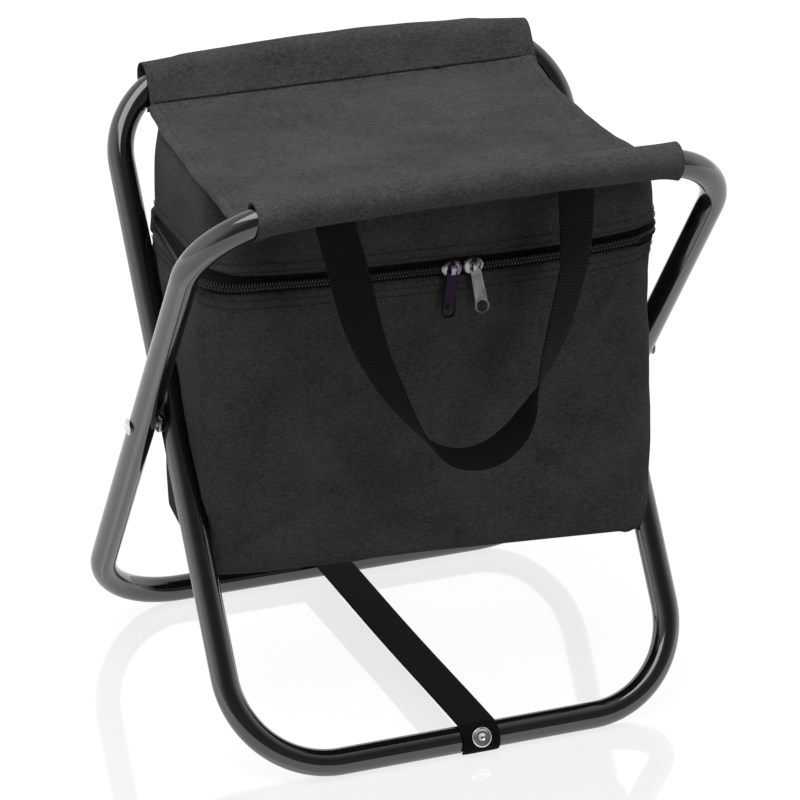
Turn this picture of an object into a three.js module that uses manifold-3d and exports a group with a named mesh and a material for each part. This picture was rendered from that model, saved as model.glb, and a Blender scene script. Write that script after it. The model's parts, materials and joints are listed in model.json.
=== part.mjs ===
// Folding stool with a cooler bag under its sling seat.
// Two tube loops cross at a pivot, the seat is sewn round their top bars, and the bag hangs from the seat.
// Millimetres, +Z up, front towards -Y, the floor at Z = 0 and the origin under the middle of the stool.
import * as THREE from 'three';
import { mergeVertices } from 'three/addons/utils/BufferGeometryUtils.js';
import Module from 'manifold-3d';

const wasm = await Module();
wasm.setup();

// Frame
const TUBE_D = 16;
const TUBE_WALL = 1;
const TUBE_SIDES = 16;
const OUTER_W = 313; // between the leg centrelines of the outer loop
const PIVOT_GAP = 2.6; // between the sides of the crossing legs
const LEG_LENGTH = 424.8; // from top bar centre to bottom bar centre
const LEAN = THREE.MathUtils.degToRad(34.9); // of the legs from upright
const BEND_R = 60;
const BEND_STEPS = 8;
const TUBE_END_GAP = 0.6; // where the two ends of a loop meet
const PLUG_LENGTH = 90;
const PLUG_CHAMFER = 1.5;

// Pivot rivets
const RIVET_D = 6;
const RIVET_HEAD_D = 10;
const RIVET_DOME = 2.4;
const RIVET_DOME_STEPS = 5;
const RIVET_TAIL_D = 9;
const RIVET_TAIL_T = 1.8;
const SPACER_D = 12;

// Sling seat
const FABRIC_T = 1.2;
const SLEEVE_PAST = 29; // how far the sleeves run on past the straight of the outer loop's bar
const SLEEVE_STEPS = 7; // along each bend
const SLEEVE_SIDES = 14; // round the bar
const SEAT_SIDE_INSET = 5.5; // from the sleeves' ends to the seat panel's sides
const SEAM_INSET = 18.3; // from bar centre to sleeve seam, towards the middle
const SEAM_DROP = 15.5; // from bar centre down to the seam
const SEAM_W = 8;
const SEAT_T = 1.8;

// Cooler bag
const BAG_D = 113;
const BAG_SKEW = 0.083; // how far the bag hangs forward for each mm to the right
const BAG_CORNER_R = 18;
const BAG_CORNER_STEPS = 6;
const BAG_FLOOR_Z = 100;
const BAG_SIDE_GAP = 0.8; // to the inner heads of the pivot rivets
const FOAM_T = 4;
const LINER_T = 0.6;

// Zip
const ZIP_Z = 278;
const ZIP_BAND = 12; // height of the gap between collar and tub that shows the zip
const ZIP_SLIT = 1.2; // between the two coils
const TAPE_T = 0.8;
const TAPE_W = 13;
const COIL_T = 2.2;
const COIL_W = 2.6;
const FOAM_SETBACK = 10; // from zip centre to the foam's edge

// Zip sliders and pulls
const SLIDER_W = 11;
const SLIDER_H = 10;
const SLIDER_SIDES = 20;
const SLIDER_GAP = 3;
const SLIDER_PAIR_X = 21; // where the two sliders meet
const PLATE_T = 1.6;
const BACK_PLATE_T = 1;
const WEB_T = 0.6;
const WEB_W = 3;
const BRIDGE_D = 1.5;
const BRIDGE_W = 3.8; // between the ears that hold the bridge
const BRIDGE_RISE = 1.5; // above the slider's middle
const EAR_T = 0.9;
const EAR_H = 2.4;
const KNUCKLE_D = 3.6;
const PULL_W = 8.4;
const PULL_T = 1.4;
const PULL_LENGTH = 28;
const PULL_EYE_D = 5.6; // of the round eye in the tip
const PULL_NECK = 3.5;
const PULL_FLARE = 3;
const PULL_TIP_STEPS = 10;

// Webbing
const WEBBING_T = 1.5;
const HANDLE_W = 22;
const HANDLE_SPAN = 144; // between the middles of a handle's two ends
const HANDLE_DROP = 158;
const HANDLE_STEPS = 28;
const HANDLE_TWIST = THREE.MathUtils.degToRad(40); // of the webbing at the bottom of the loop
const STRAP_W = 23;
const STRAP_TILT = THREE.MathUtils.degToRad(25); // of the strap rivets, above level
const STRAP_TUCK = THREE.MathUtils.degToRad(45); // how far below level a strap end reaches
const STRAP_STEPS = 10;
const STRAP_RIVET_D = 4.8;
const STRAP_HEAD_D = 12;
const STRAP_HEAD_T = 1.6;
const STRAP_DIMPLE_D = 4;
const STRAP_TAIL_D = 6.6;
const STRAP_TAIL_T = 1.8;

// Clearances
const CLEAR = 0.3; // between pieces that lie against each other
const PIN_CLEAR = 0.2; // round a pin in its hole
const PULL_CLEAR = 0.4; // round a slider's bridge in the loose knuckle of its pull
const SEW_GAP = 0.5; // between a handle's end and the seam that holds it

// Places worked out from the sizes
const FACET = Math.cos(Math.PI / TUBE_SIDES);
const TUBE_R = TUBE_D / 2;
const TUBE_OUT = TUBE_R / FACET; // reach of the faceted tube's corners
const BORE_R = TUBE_R - TUBE_WALL;
const INNER_W = OUTER_W - 2 * (TUBE_D + PIVOT_GAP);
const BAR_Y = (LEG_LENGTH / 2) * Math.sin(LEAN);
const PIVOT_Z = (LEG_LENGTH / 2) * Math.cos(LEAN) + TUBE_R;
const BAR_TOP_Z = 2 * PIVOT_Z - TUBE_R;
const SEAM_Y = BAR_Y - SEAM_INSET;
const SEAM_Z = BAR_TOP_Z - SEAM_DROP;
const SEAM_TIP_BACK = (FABRIC_T * SEAM_DROP) / Math.hypot(SEAM_INSET, SEAM_DROP); // from its square end
const SEAM_EDGE_Y = SEAM_Y - SEAM_TIP_BACK;
const SLEEVE_W = OUTER_W - 2 * BEND_R + 2 * SLEEVE_PAST;
const SEAT_W = SLEEVE_W - 2 * SEAT_SIDE_INSET;
const RIVET_TAIL_X = INNER_W / 2 - TUBE_OUT - CLEAR - RIVET_TAIL_T;
const RIVET_HEAD_X = OUTER_W / 2 + TUBE_OUT + CLEAR;
const BAG_W = 2 * (RIVET_TAIL_X - BAG_SIDE_GAP);
const BAG_TOP_Z = SEAM_Z - SEAT_T / 2 - CLEAR;
const BAG_CORNER_X = BAG_W / 2 - BAG_CORNER_R;
const BAG_CORNER_Y = BAG_D / 2 - BAG_CORNER_R;
const COLLAR_Z = ZIP_Z + ZIP_BAND / 2;
const TUB_Z = ZIP_Z - ZIP_BAND / 2;
const TAPE_IN = FABRIC_T + CLEAR; // depth of the zip tape behind the bag's face
const FOAM_IN = TAPE_IN + TAPE_T + CLEAR;
const LINER_IN = FOAM_IN + FOAM_T + CLEAR;
const COIL_OUT = COIL_T + CLEAR - TAPE_IN; // how far the coil stands proud of the bag's face
const PLATE_OUT = COIL_OUT + CLEAR;
const BRIDGE_OUT = PLATE_OUT + PLATE_T + CLEAR + KNUCKLE_D / 2;
const WRAP_R = TUBE_OUT + CLEAR + WEBBING_T; // outside of the strap round a bar

// Materials
const finish = (color, roughness, metalness) => () =>
  new THREE.MeshStandardMaterial({ color, roughness, metalness });
const blackPaint = finish(0x0b0b0c, 0.25, 0.1);
const steel = finish(0xc4c4c6, 0.3, 1);
const seatFabric = finish(0x3a3a3c, 0.9, 0);
const bagFabric = finish(0x2a2a2b, 0.9, 0);
const foam = finish(0xe8e8e4, 0.8, 0);
const foil = finish(0xb9bcc0, 0.35, 0.8);
const blackTape = finish(0x101011, 0.85, 0);
const blackCoil = finish(0x1a1a1c, 0.45, 0);
const webbing = finish(0x161617, 0.85, 0);
const darkMetal = finish(0x3b3740, 0.35, 1);

// Boolean joins and cuts of closed geometries
const WELD = 1e-4; // corners closer than this are one corner

function solidOf(geometry) {
  const bare = geometry.clone();
  bare.deleteAttribute('normal');
  bare.deleteAttribute('uv');
  const welded = mergeVertices(bare, WELD);
  const vertProperties = new Float32Array(welded.attributes.position.array);
  const triVerts = new Uint32Array(welded.index.array);
  return new wasm.Manifold(new wasm.Mesh({ numProp: 3, vertProperties, triVerts }));
}

function geometryOf(solid) {
  const { vertProperties, triVerts } = solid.getMesh();
  const geometry = new THREE.BufferGeometry();
  geometry.setAttribute('position', new THREE.BufferAttribute(vertProperties, 3));
  geometry.setIndex(new THREE.BufferAttribute(triVerts, 1));
  geometry.computeVertexNormals();
  return geometry;
}

function cut(geometry, ...tools) {
  return geometryOf(tools.map(solidOf).reduce((rest, tool) => rest.subtract(tool), solidOf(geometry)));
}

function join(...geometries) {
  return geometryOf(geometries.map(solidOf).reduce((sum, next) => sum.add(next)));
}

function piece(name, geometry, material) {
  const mesh = new THREE.Mesh(geometry, material());
  mesh.name = name;
  return mesh;
}

// Points, profiles and extrusions
const PIN_SIDES = 16;
const TURNED_SIDES = 20;

function arc(cx, cy, radius, from, to, steps) {
  return Array.from({ length: steps + 1 }, (_, i) => {
    const angle = from + ((to - from) * i) / steps;
    return new THREE.Vector2(cx + radius * Math.cos(angle), cy + radius * Math.sin(angle));
  });
}

// A many-sided round whose sides touch the circle, with one side square to the given direction
function facetedRound(radius, facing) {
  const half = Math.PI / TUBE_SIDES;
  return arc(0, 0, radius / FACET, facing + half, facing + half + 2 * Math.PI - 2 * half, TUBE_SIDES - 1);
}

function shapeOf(outline, hole) {
  const shape = new THREE.Shape(outline);
  if (hole) shape.holes.push(new THREE.Path(hole));
  return shape;
}

function extrudeUp(shape, z0, z1) {
  return new THREE.ExtrudeGeometry(shape, { depth: z1 - z0, bevelEnabled: false }).translate(0, 0, z0);
}

// A section drawn in Y and Z, carried across X about the middle
function extrudeAcross(shape, width) {
  const [x, y, z] = [new THREE.Vector3(1, 0, 0), new THREE.Vector3(0, 1, 0), new THREE.Vector3(0, 0, 1)];
  const turn = new THREE.Matrix4().makeBasis(y, z, x);
  return extrudeUp(shape, -width / 2, width / 2).applyMatrix4(turn);
}

// An outline drawn in X and Z, carried from y0 out towards the front
function extrudeOut(shape, y0, depth) {
  return extrudeUp(shape, 0, depth).rotateX(Math.PI / 2).translate(0, y0, 0);
}

function pin(diameter, length) {
  return new THREE.CylinderGeometry(diameter / 2, diameter / 2, length, PIN_SIDES);
}

function turned(points) {
  return new THREE.LatheGeometry(points.map(([r, along]) => new THREE.Vector2(r, along)), TURNED_SIDES);
}

// A route of straight runs and round bends, with one step to a run and several to a bend
class BentRoute extends THREE.Curve {
  constructor() {
    super();
    this.points = [];
    this.tangents = [];
  }

  get steps() {
    return this.points.length - 1;
  }

  add(x, y, tx, ty) {
    this.points.push(new THREE.Vector3(x, y, 0));
    this.tangents.push(new THREE.Vector3(tx, ty, 0));
    return this;
  }

  // A clockwise bend about a centre
  bend(cx, cy, from, to, steps) {
    for (const p of arc(0, 0, 1, from, to, steps)) {
      this.add(cx + BEND_R * p.x, cy + BEND_R * p.y, p.y, -p.x);
    }
    return this;
  }

  between(list, t, target) {
    const place = t * this.steps;
    const i = Math.min(Math.floor(place), this.steps - 1);
    return target.lerpVectors(list[i], list[i + 1], place - i);
  }

  getPoint(t, target = new THREE.Vector3()) {
    return this.between(this.points, t, target);
  }

  getTangent(t, target = new THREE.Vector3()) {
    return this.between(this.tangents, t, target).normalize();
  }

  getPointAt(u, target) {
    return this.getPoint(u, target);
  }

  getTangentAt(u, target) {
    return this.getTangent(u, target);
  }
}

function carried(shape, route) {
  return new THREE.ExtrudeGeometry(shape, { steps: route.steps, extrudePath: route });
}

// Frame loops. Each is drawn flat, with X across, Y up the legs and its pivot at the origin.
// side is +1 for the loop whose top bar is at the rear and -1 for the one whose top bar is at the front.
function loopTube(width, side) {
  const cx = width / 2 - BEND_R;
  const cy = LEG_LENGTH / 2 - BEND_R;
  const route = new BentRoute().add(TUBE_END_GAP / 2, LEG_LENGTH / 2, 1, 0);
  [[cx, cy], [cx, -cy], [-cx, -cy], [-cx, cy]].forEach(([x, y], corner) => {
    const from = ((1 - corner) * Math.PI) / 2;
    route.bend(x, y, from, from - Math.PI / 2, BEND_STEPS);
  });
  route.add(-TUBE_END_GAP / 2, LEG_LENGTH / 2, 1, 0);
  const floorFacing = Math.PI / 2 - side * LEAN;
  const section = shapeOf(facetedRound(TUBE_R, floorFacing), facetedRound(BORE_R, floorFacing));
  const pivotHole = pin(RIVET_D + 2 * PIN_CLEAR, width + 2 * TUBE_D).rotateZ(Math.PI / 2);
  const strapHole = pin(STRAP_RIVET_D + 2 * PIN_CLEAR, TUBE_D)
    .translate(0, TUBE_D / 2, 0)
    .rotateX(side * (Math.PI / 2 - STRAP_TILT + LEAN))
    .translate(0, -LEG_LENGTH / 2, 0);
  return cut(carried(section, route), pivotHole, strapHole);
}

function joiningPlug() {
  const r = BORE_R - CLEAR;
  const end = PLUG_LENGTH / 2;
  const profile = [[0, -end], [r - PLUG_CHAMFER, -end], [r, PLUG_CHAMFER - end]];
  const mirrored = profile.map(([radius, along]) => [radius, -along]).reverse();
  return turned([...profile, ...mirrored]).rotateZ(Math.PI / 2).translate(0, LEG_LENGTH / 2, 0);
}

// A sleeve is one fabric band round the bar, drawn together into a flat seam towards the seat.
// It follows the bar into the bends, and its seam is trimmed straight there, where the seat panel meets it.
function sleeve(width, side) {
  const down = SEAM_INSET * Math.sin(LEAN) + SEAM_DROP * Math.cos(LEAN);
  const aside = SEAM_INSET * Math.cos(LEAN) - SEAM_DROP * Math.sin(LEAN);
  const reach = Math.hypot(down, aside);
  const inside = TUBE_OUT + CLEAR;
  const outside = inside + FABRIC_T;
  const leaves = Math.acos((outside - FABRIC_T) / reach);
  const meet = reach - SEAM_W;
  const leavesInside = Math.acos(inside / meet);
  const outer = [
    new THREE.Vector2(reach, FABRIC_T),
    ...arc(0, 0, outside, leaves, 2 * Math.PI - leaves, SLEEVE_SIDES),
    new THREE.Vector2(reach, -FABRIC_T),
  ];
  const inner = [
    new THREE.Vector2(meet, 0),
    ...arc(0, 0, inside, leavesInside, 2 * Math.PI - leavesInside, SLEEVE_SIDES),
  ];
  const seamwards = Math.atan2(-down, -side * aside);
  const turn = (p) => p.rotateAround(new THREE.Vector2(), seamwards);
  const cx = width / 2 - BEND_R;
  const cy = LEG_LENGTH / 2 - BEND_R;
  const up = Math.PI / 2;
  const wrap = Math.asin((SLEEVE_W / 2 - cx) / BEND_R);
  const route = new BentRoute()
    .bend(-cx, cy, up + wrap, up, SLEEVE_STEPS)
    .bend(cx, cy, up, up - wrap, SLEEVE_STEPS);
  const intoLoop = new THREE.Matrix4().makeRotationX(up - side * LEAN).setPosition(0, 0, PIVOT_Z).invert();
  const seatSpace = new THREE.BoxGeometry(OUTER_W, 2 * SEAM_EDGE_Y, PIVOT_Z)
    .translate(0, 0, SEAM_Z)
    .applyMatrix4(intoLoop);
  return cut(carried(shapeOf(outer.map(turn), inner.map(turn)), route), seatSpace);
}

function pivotRivet(sideways) {
  const tail = RIVET_TAIL_D / 2;
  const shank = RIVET_D / 2;
  const head = RIVET_HEAD_D / 2;
  const domeR = (head ** 2 + RIVET_DOME ** 2) / (2 * RIVET_DOME);
  const domeAngle = Math.asin(head / domeR);
  const domeCentre = RIVET_HEAD_X + RIVET_DOME - domeR;
  const dome = arc(0, domeCentre, domeR, Math.PI / 2 - domeAngle, Math.PI / 2, RIVET_DOME_STEPS);
  const tailEnd = RIVET_TAIL_X + RIVET_TAIL_T;
  const profile = [
    [0, RIVET_TAIL_X],
    [tail - RIVET_TAIL_T / 2, RIVET_TAIL_X],
    [tail, RIVET_TAIL_X + RIVET_TAIL_T / 2],
    [tail, tailEnd],
    [shank, tailEnd],
    [shank, RIVET_HEAD_X],
    ...dome.slice(0, -1).map((p) => [p.x, p.y]),
    [0, RIVET_HEAD_X + RIVET_DOME],
  ];
  return turned(profile).rotateZ((-sideways * Math.PI) / 2);
}

function pivotSpacer(sideways) {
  const hole = RIVET_D / 2 + PIN_CLEAR;
  const from = INNER_W / 2 + TUBE_OUT + PIN_CLEAR;
  const to = OUTER_W / 2 - TUBE_OUT - PIN_CLEAR;
  const rim = SPACER_D / 2;
  const section = [[hole, from], [rim, from], [rim, to], [hole, to], [hole, from]];
  return turned(section).rotateZ((-sideways * Math.PI) / 2);
}

// Floor strap. An end goes over the top of its bar and down the outside, here towards -Y.
function strapRivetPin(diameter, length) {
  return pin(diameter, length).translate(0, length / 2, 0).rotateX(Math.PI - STRAP_TILT);
}

function strapEnd() {
  const tucked = Math.PI + STRAP_TUCK;
  const band = [
    ...arc(0, 0, WRAP_R - WEBBING_T, Math.PI / 2, tucked, STRAP_STEPS),
    ...arc(0, 0, WRAP_R, tucked, Math.PI / 2, STRAP_STEPS),
  ];
  return cut(extrudeAcross(shapeOf(band), STRAP_W), strapRivetPin(STRAP_RIVET_D + 2 * PIN_CLEAR, 2 * WRAP_R));
}

function strapRivet() {
  const shank = STRAP_RIVET_D / 2;
  const tail = STRAP_TAIL_D / 2;
  const tailTop = Math.sqrt(BORE_R ** 2 - tail ** 2) - CLEAR;
  const head = STRAP_HEAD_D / 2;
  const base = WRAP_R + CLEAR;
  const dimple = STRAP_DIMPLE_D / 2;
  const profile = [
    [0, tailTop - STRAP_TAIL_T],
    [tail - STRAP_TAIL_T / 2, tailTop - STRAP_TAIL_T],
    [tail, tailTop],
    [shank, tailTop],
    [shank, base],
    [head, base],
    [head, base + STRAP_HEAD_T / 2],
    [head - STRAP_HEAD_T / 2, base + STRAP_HEAD_T],
    [dimple, base + STRAP_HEAD_T],
    [dimple / 2, base + STRAP_HEAD_T / 2],
    [0, base + STRAP_HEAD_T / 2],
  ];
  return turned(profile).rotateX(Math.PI - STRAP_TILT);
}

function band(halfLength, z0, z1, width) {
  const outline = [[-halfLength, z0], [halfLength, z0], [halfLength, z1], [-halfLength, z1]];
  return extrudeAcross(shapeOf(outline.map(([y, z]) => new THREE.Vector2(y, z))), width);
}

// Cooler bag. Every wall follows one rounded plan, set in from the bag's face, and the whole bag hangs askew,
// with its right end further forward.
const askew = (geometry) => geometry.applyMatrix4(new THREE.Matrix4().makeShear(-BAG_SKEW, 0, 0, 0, 0, 0));

function plan(inset) {
  const r = BAG_CORNER_R - inset;
  const corners = [[1, 1], [-1, 1], [-1, -1], [1, -1]];
  return corners.flatMap(([sx, sy], i) => {
    const from = (i * Math.PI) / 2;
    return arc(sx * BAG_CORNER_X, sy * BAG_CORNER_Y, r, from, from + Math.PI / 2, BAG_CORNER_STEPS);
  });
}

const block = (inset, z0, z1) => askew(extrudeUp(shapeOf(plan(inset)), z0, z1));
const tub = (inset, wall, z0, z1) => cut(block(inset, z0, z1), block(inset + wall, z0 + wall, z1 + wall));
const lid = (inset, wall, z0, z1) => cut(block(inset, z0, z1), block(inset + wall, z0 - wall, z1 - wall));
const ring = (inset, wall, z0, z1) => askew(extrudeUp(shapeOf(plan(inset), plan(inset + wall)), z0, z1));

// An open band of the plan: round the front corners for the zip, and round the back ones for the strip
function openBand(inset, wall, towards, endY, z0, z1) {
  const side = (depth) => {
    const r = BAG_CORNER_R - depth;
    const x = BAG_W / 2 - depth;
    const y = towards * BAG_CORNER_Y;
    const quarter = Math.PI / 2;
    return [
      new THREE.Vector2(-x, endY),
      ...arc(-BAG_CORNER_X, y, r, Math.PI, Math.PI - towards * quarter, BAG_CORNER_STEPS),
      ...arc(BAG_CORNER_X, y, r, towards * quarter, 0, BAG_CORNER_STEPS),
      new THREE.Vector2(x, endY),
    ];
  };
  return askew(extrudeUp(shapeOf([...side(inset), ...side(inset + wall).reverse()]), z0, z1));
}

const zipBand = (inset, wall, z0, z1) => openBand(inset, wall, -1, BAG_CORNER_Y - CLEAR, z0, z1);

// Zip slider: a plate in front of the coils and one behind, joined by a web through the slit between
// them, with two ears on the front that carry the bridge. Its middle is at the origin, front towards -Y.
function zipSlider() {
  const ellipse = new THREE.EllipseCurve(0, 0, SLIDER_W / 2, SLIDER_H / 2);
  const outline = ellipse.getPoints(SLIDER_SIDES).slice(0, -1);
  const back = TAPE_IN + TAPE_T + CLEAR;
  const frontPlate = extrudeOut(shapeOf(outline), -PLATE_OUT, PLATE_T);
  const backPlate = extrudeOut(shapeOf(outline), back + BACK_PLATE_T, BACK_PLATE_T);
  const web = new THREE.BoxGeometry(WEB_W, back + PLATE_OUT + BACK_PLATE_T, WEB_T);
  web.translate(0, (back - PLATE_OUT) / 2, 0);
  const earDepth = BRIDGE_OUT + EAR_H / 2 - PLATE_OUT;
  const ears = [-1, 1].map((hand) =>
    new THREE.BoxGeometry(EAR_T, earDepth, EAR_H)
      .translate((hand * (BRIDGE_W + EAR_T)) / 2, -PLATE_OUT - earDepth / 2, BRIDGE_RISE));
  const bridge = pin(BRIDGE_D, BRIDGE_W + EAR_T).rotateZ(Math.PI / 2).translate(0, -BRIDGE_OUT, BRIDGE_RISE);
  return join(frontPlate, backPlate, web, ...ears, bridge);
}

// Zip pull: a knuckle round the bridge and a flat tab hanging from it, with a round eye in its tip. The
// bridge's axis is at the origin.
function zipPull() {
  const knuckleW = BRIDGE_W - 2 * CLEAR;
  const r = PULL_W / 2;
  const endZ = r - PULL_LENGTH;
  const outline = [
    new THREE.Vector2(knuckleW / 2, 0),
    new THREE.Vector2(-knuckleW / 2, 0),
    new THREE.Vector2(-knuckleW / 2, -PULL_NECK),
    new THREE.Vector2(-r, -PULL_NECK - PULL_FLARE),
    ...arc(0, endZ, r, Math.PI, 2 * Math.PI, PULL_TIP_STEPS),
    new THREE.Vector2(r, -PULL_NECK - PULL_FLARE),
    new THREE.Vector2(knuckleW / 2, -PULL_NECK),
  ];
  const tab = extrudeOut(shapeOf(outline), PULL_T / 2, PULL_T);
  const knuckle = pin(KNUCKLE_D, knuckleW).rotateZ(Math.PI / 2);
  const hole = pin(BRIDGE_D + 2 * PULL_CLEAR, PULL_W).rotateZ(Math.PI / 2);
  const eye = pin(PULL_EYE_D, PULL_W).translate(0, 0, endZ);
  return cut(join(tab, knuckle), hole, eye);
}

// Handle: one length of webbing whose ends are sewn into the sleeve seam. It hangs in a loop and turns a
// little on its way down, so that its lower edge lies further back. The middle of its ends is the origin.
function handle() {
  const half = HANDLE_SPAN / 2;
  const shares = [[1, 0], [1, 0.06], [0.94, 0.3], [0.78, 0.58], [0.53, 0.84], [0.24, 0.97], [0, 1]];
  const right = shares.map(([x, z]) => new THREE.Vector3(x * half, 0, -z * HANDLE_DROP));
  const left = right.slice(0, -1).map((p) => new THREE.Vector3(-p.x, 0, p.z));
  const route = new THREE.CatmullRomCurve3([...left, ...right.reverse()]);
  const positions = [];
  const index = [];
  for (let i = 0; i <= HANDLE_STEPS; i += 1) {
    const along = i / HANDLE_STEPS;
    const centre = route.getPointAt(along);
    const tangent = route.getTangentAt(along);
    const outwards = new THREE.Vector3(0, 1, 0).cross(tangent);
    const twist = HANDLE_TWIST * Math.sin(Math.PI * along) ** 2;
    const across = outwards.multiplyScalar(Math.cos(twist)).add(new THREE.Vector3(0, Math.sin(twist), 0));
    const through = tangent.clone().cross(across).multiplyScalar(WEBBING_T / 2);
    across.multiplyScalar(HANDLE_W / 2);
    for (const [a, t] of [[1, 1], [-1, 1], [-1, -1], [1, -1]]) {
      positions.push(...centre.clone().addScaledVector(across, a).addScaledVector(through, t).toArray());
    }
    if (i === 0) continue;
    const [now, before] = [4 * i, 4 * i - 4];
    for (let k = 0; k < 4; k += 1) {
      const next = (k + 1) % 4;
      index.push(before + k, before + next, now + next, before + k, now + next, now + k);
    }
  }
  const last = 4 * HANDLE_STEPS;
  index.push(2, 1, 0, 3, 2, 0, last, last + 1, last + 2, last, last + 2, last + 3);
  const geometry = new THREE.BufferGeometry();
  geometry.setAttribute('position', new THREE.Float32BufferAttribute(positions, 3));
  geometry.setIndex(index);
  return geometry;
}

// The stool
const stool = new THREE.Group();

const frames = [
  { name: 'outer', width: OUTER_W, side: -1, sleeve: 'front_sleeve', end: 'rear' },
  { name: 'inner', width: INNER_W, side: 1, sleeve: 'rear_sleeve', end: 'front' },
];
for (const frame of frames) {
  const loop = new THREE.Group();
  loop.position.z = PIVOT_Z;
  loop.rotation.x = Math.PI / 2 - frame.side * LEAN;
  loop.add(piece(`${frame.name}_frame_tube`, loopTube(frame.width, frame.side), blackPaint));
  loop.add(piece(`${frame.name}_frame_plug`, joiningPlug(), steel));
  loop.add(piece(frame.sleeve, sleeve(frame.width, frame.side), seatFabric));
  const bottomBar = new THREE.Group();
  bottomBar.position.set(0, -frame.side * BAR_Y, TUBE_R);
  bottomBar.rotation.z = frame.side > 0 ? 0 : Math.PI;
  bottomBar.add(piece(`${frame.end}_strap_end`, strapEnd(), webbing));
  bottomBar.add(piece(`${frame.end}_strap_rivet`, strapRivet(), steel));
  stool.add(loop, bottomBar);
}

for (const [name, sideways] of [['left', -1], ['right', 1]]) {
  const pivot = new THREE.Group();
  pivot.position.z = PIVOT_Z;
  pivot.add(piece(`${name}_pivot_rivet`, pivotRivet(sideways), steel));
  pivot.add(piece(`${name}_pivot_spacer`, pivotSpacer(sideways), steel));
  stool.add(pivot);
}

const seat = band(SEAM_EDGE_Y - CLEAR, SEAM_Z - SEAT_T / 2, SEAM_Z + SEAT_T / 2, SEAT_W);
stool.add(piece('seat_panel', seat, seatFabric));
const strapZ = TUBE_R + WRAP_R;
stool.add(piece('strap_span', band(BAR_Y - CLEAR, strapZ - WEBBING_T, strapZ, STRAP_W), webbing));

const upperTape = [ZIP_Z + ZIP_SLIT / 2, ZIP_Z + ZIP_SLIT / 2 + TAPE_W];
const lowerTape = [ZIP_Z - ZIP_SLIT / 2 - TAPE_W, ZIP_Z - ZIP_SLIT / 2];
const coilIn = -COIL_OUT;
stool.add(piece('bag_collar', ring(0, FABRIC_T, COLLAR_Z, BAG_TOP_Z), bagFabric));
stool.add(piece('bag_back_strip',
  openBand(0, FABRIC_T, 1, BAG_CORNER_Y, TUB_Z + CLEAR, COLLAR_Z - CLEAR), bagFabric));
stool.add(piece('lid_foam', lid(FOAM_IN, FOAM_T, ZIP_Z + FOAM_SETBACK, BAG_TOP_Z), foam));
stool.add(piece('lid_liner', lid(LINER_IN, LINER_T, ZIP_Z + FOAM_SETBACK, BAG_TOP_Z - FOAM_T - CLEAR), foil));
stool.add(piece('upper_zip_tape', zipBand(TAPE_IN, TAPE_T, ...upperTape), blackTape));
stool.add(piece('lower_zip_tape', zipBand(TAPE_IN, TAPE_T, ...lowerTape), blackTape));
stool.add(piece('upper_zip_coil', zipBand(coilIn, COIL_T, upperTape[0], upperTape[0] + COIL_W), blackCoil));
stool.add(piece('lower_zip_coil', zipBand(coilIn, COIL_T, lowerTape[1] - COIL_W, lowerTape[1]), blackCoil));

const foamFloor = BAG_FLOOR_Z + FABRIC_T + CLEAR;
const linerFloor = foamFloor + FOAM_T + CLEAR;
stool.add(piece('tub_shell', tub(0, FABRIC_T, BAG_FLOOR_Z, TUB_Z), bagFabric));
stool.add(piece('tub_foam', tub(FOAM_IN, FOAM_T, foamFloor, ZIP_Z - FOAM_SETBACK), foam));
stool.add(piece('tub_liner', tub(LINER_IN, LINER_T, linerFloor, ZIP_Z - FOAM_SETBACK), foil));

for (const [name, hand, metal] of [['left', -1, darkMetal], ['right', 1, steel]]) {
  const slider = new THREE.Group();
  const x = SLIDER_PAIR_X + (hand * (SLIDER_W + SLIDER_GAP)) / 2;
  slider.position.set(x, -BAG_D / 2 - BAG_SKEW * x, ZIP_Z);
  slider.rotation.z = -Math.atan(BAG_SKEW);
  slider.add(piece(`${name}_zip_slider`, zipSlider(), metal));
  const pull = piece(`${name}_zip_pull`, zipPull(), metal);
  pull.position.set(0, -BRIDGE_OUT, BRIDGE_RISE);
  slider.add(pull);
  stool.add(slider);
}

for (const [name, facing] of [['front', 0], ['rear', Math.PI]]) {
  const carrier = new THREE.Group();
  carrier.rotation.z = facing;
  const loop = piece(`${name}_handle`, handle(), webbing);
  loop.position.set(0, -SEAM_Y, SEAM_Z - FABRIC_T - SEW_GAP);
  carrier.add(loop);
  stool.add(carrier);
}

export default stool;
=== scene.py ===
# Folding cooler stool: two crossed loops of steel tube carry a sling seat, with an insulated bag under it.
# Lengths are in metres, +Z is up and the front faces -Y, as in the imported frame.
import json

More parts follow.
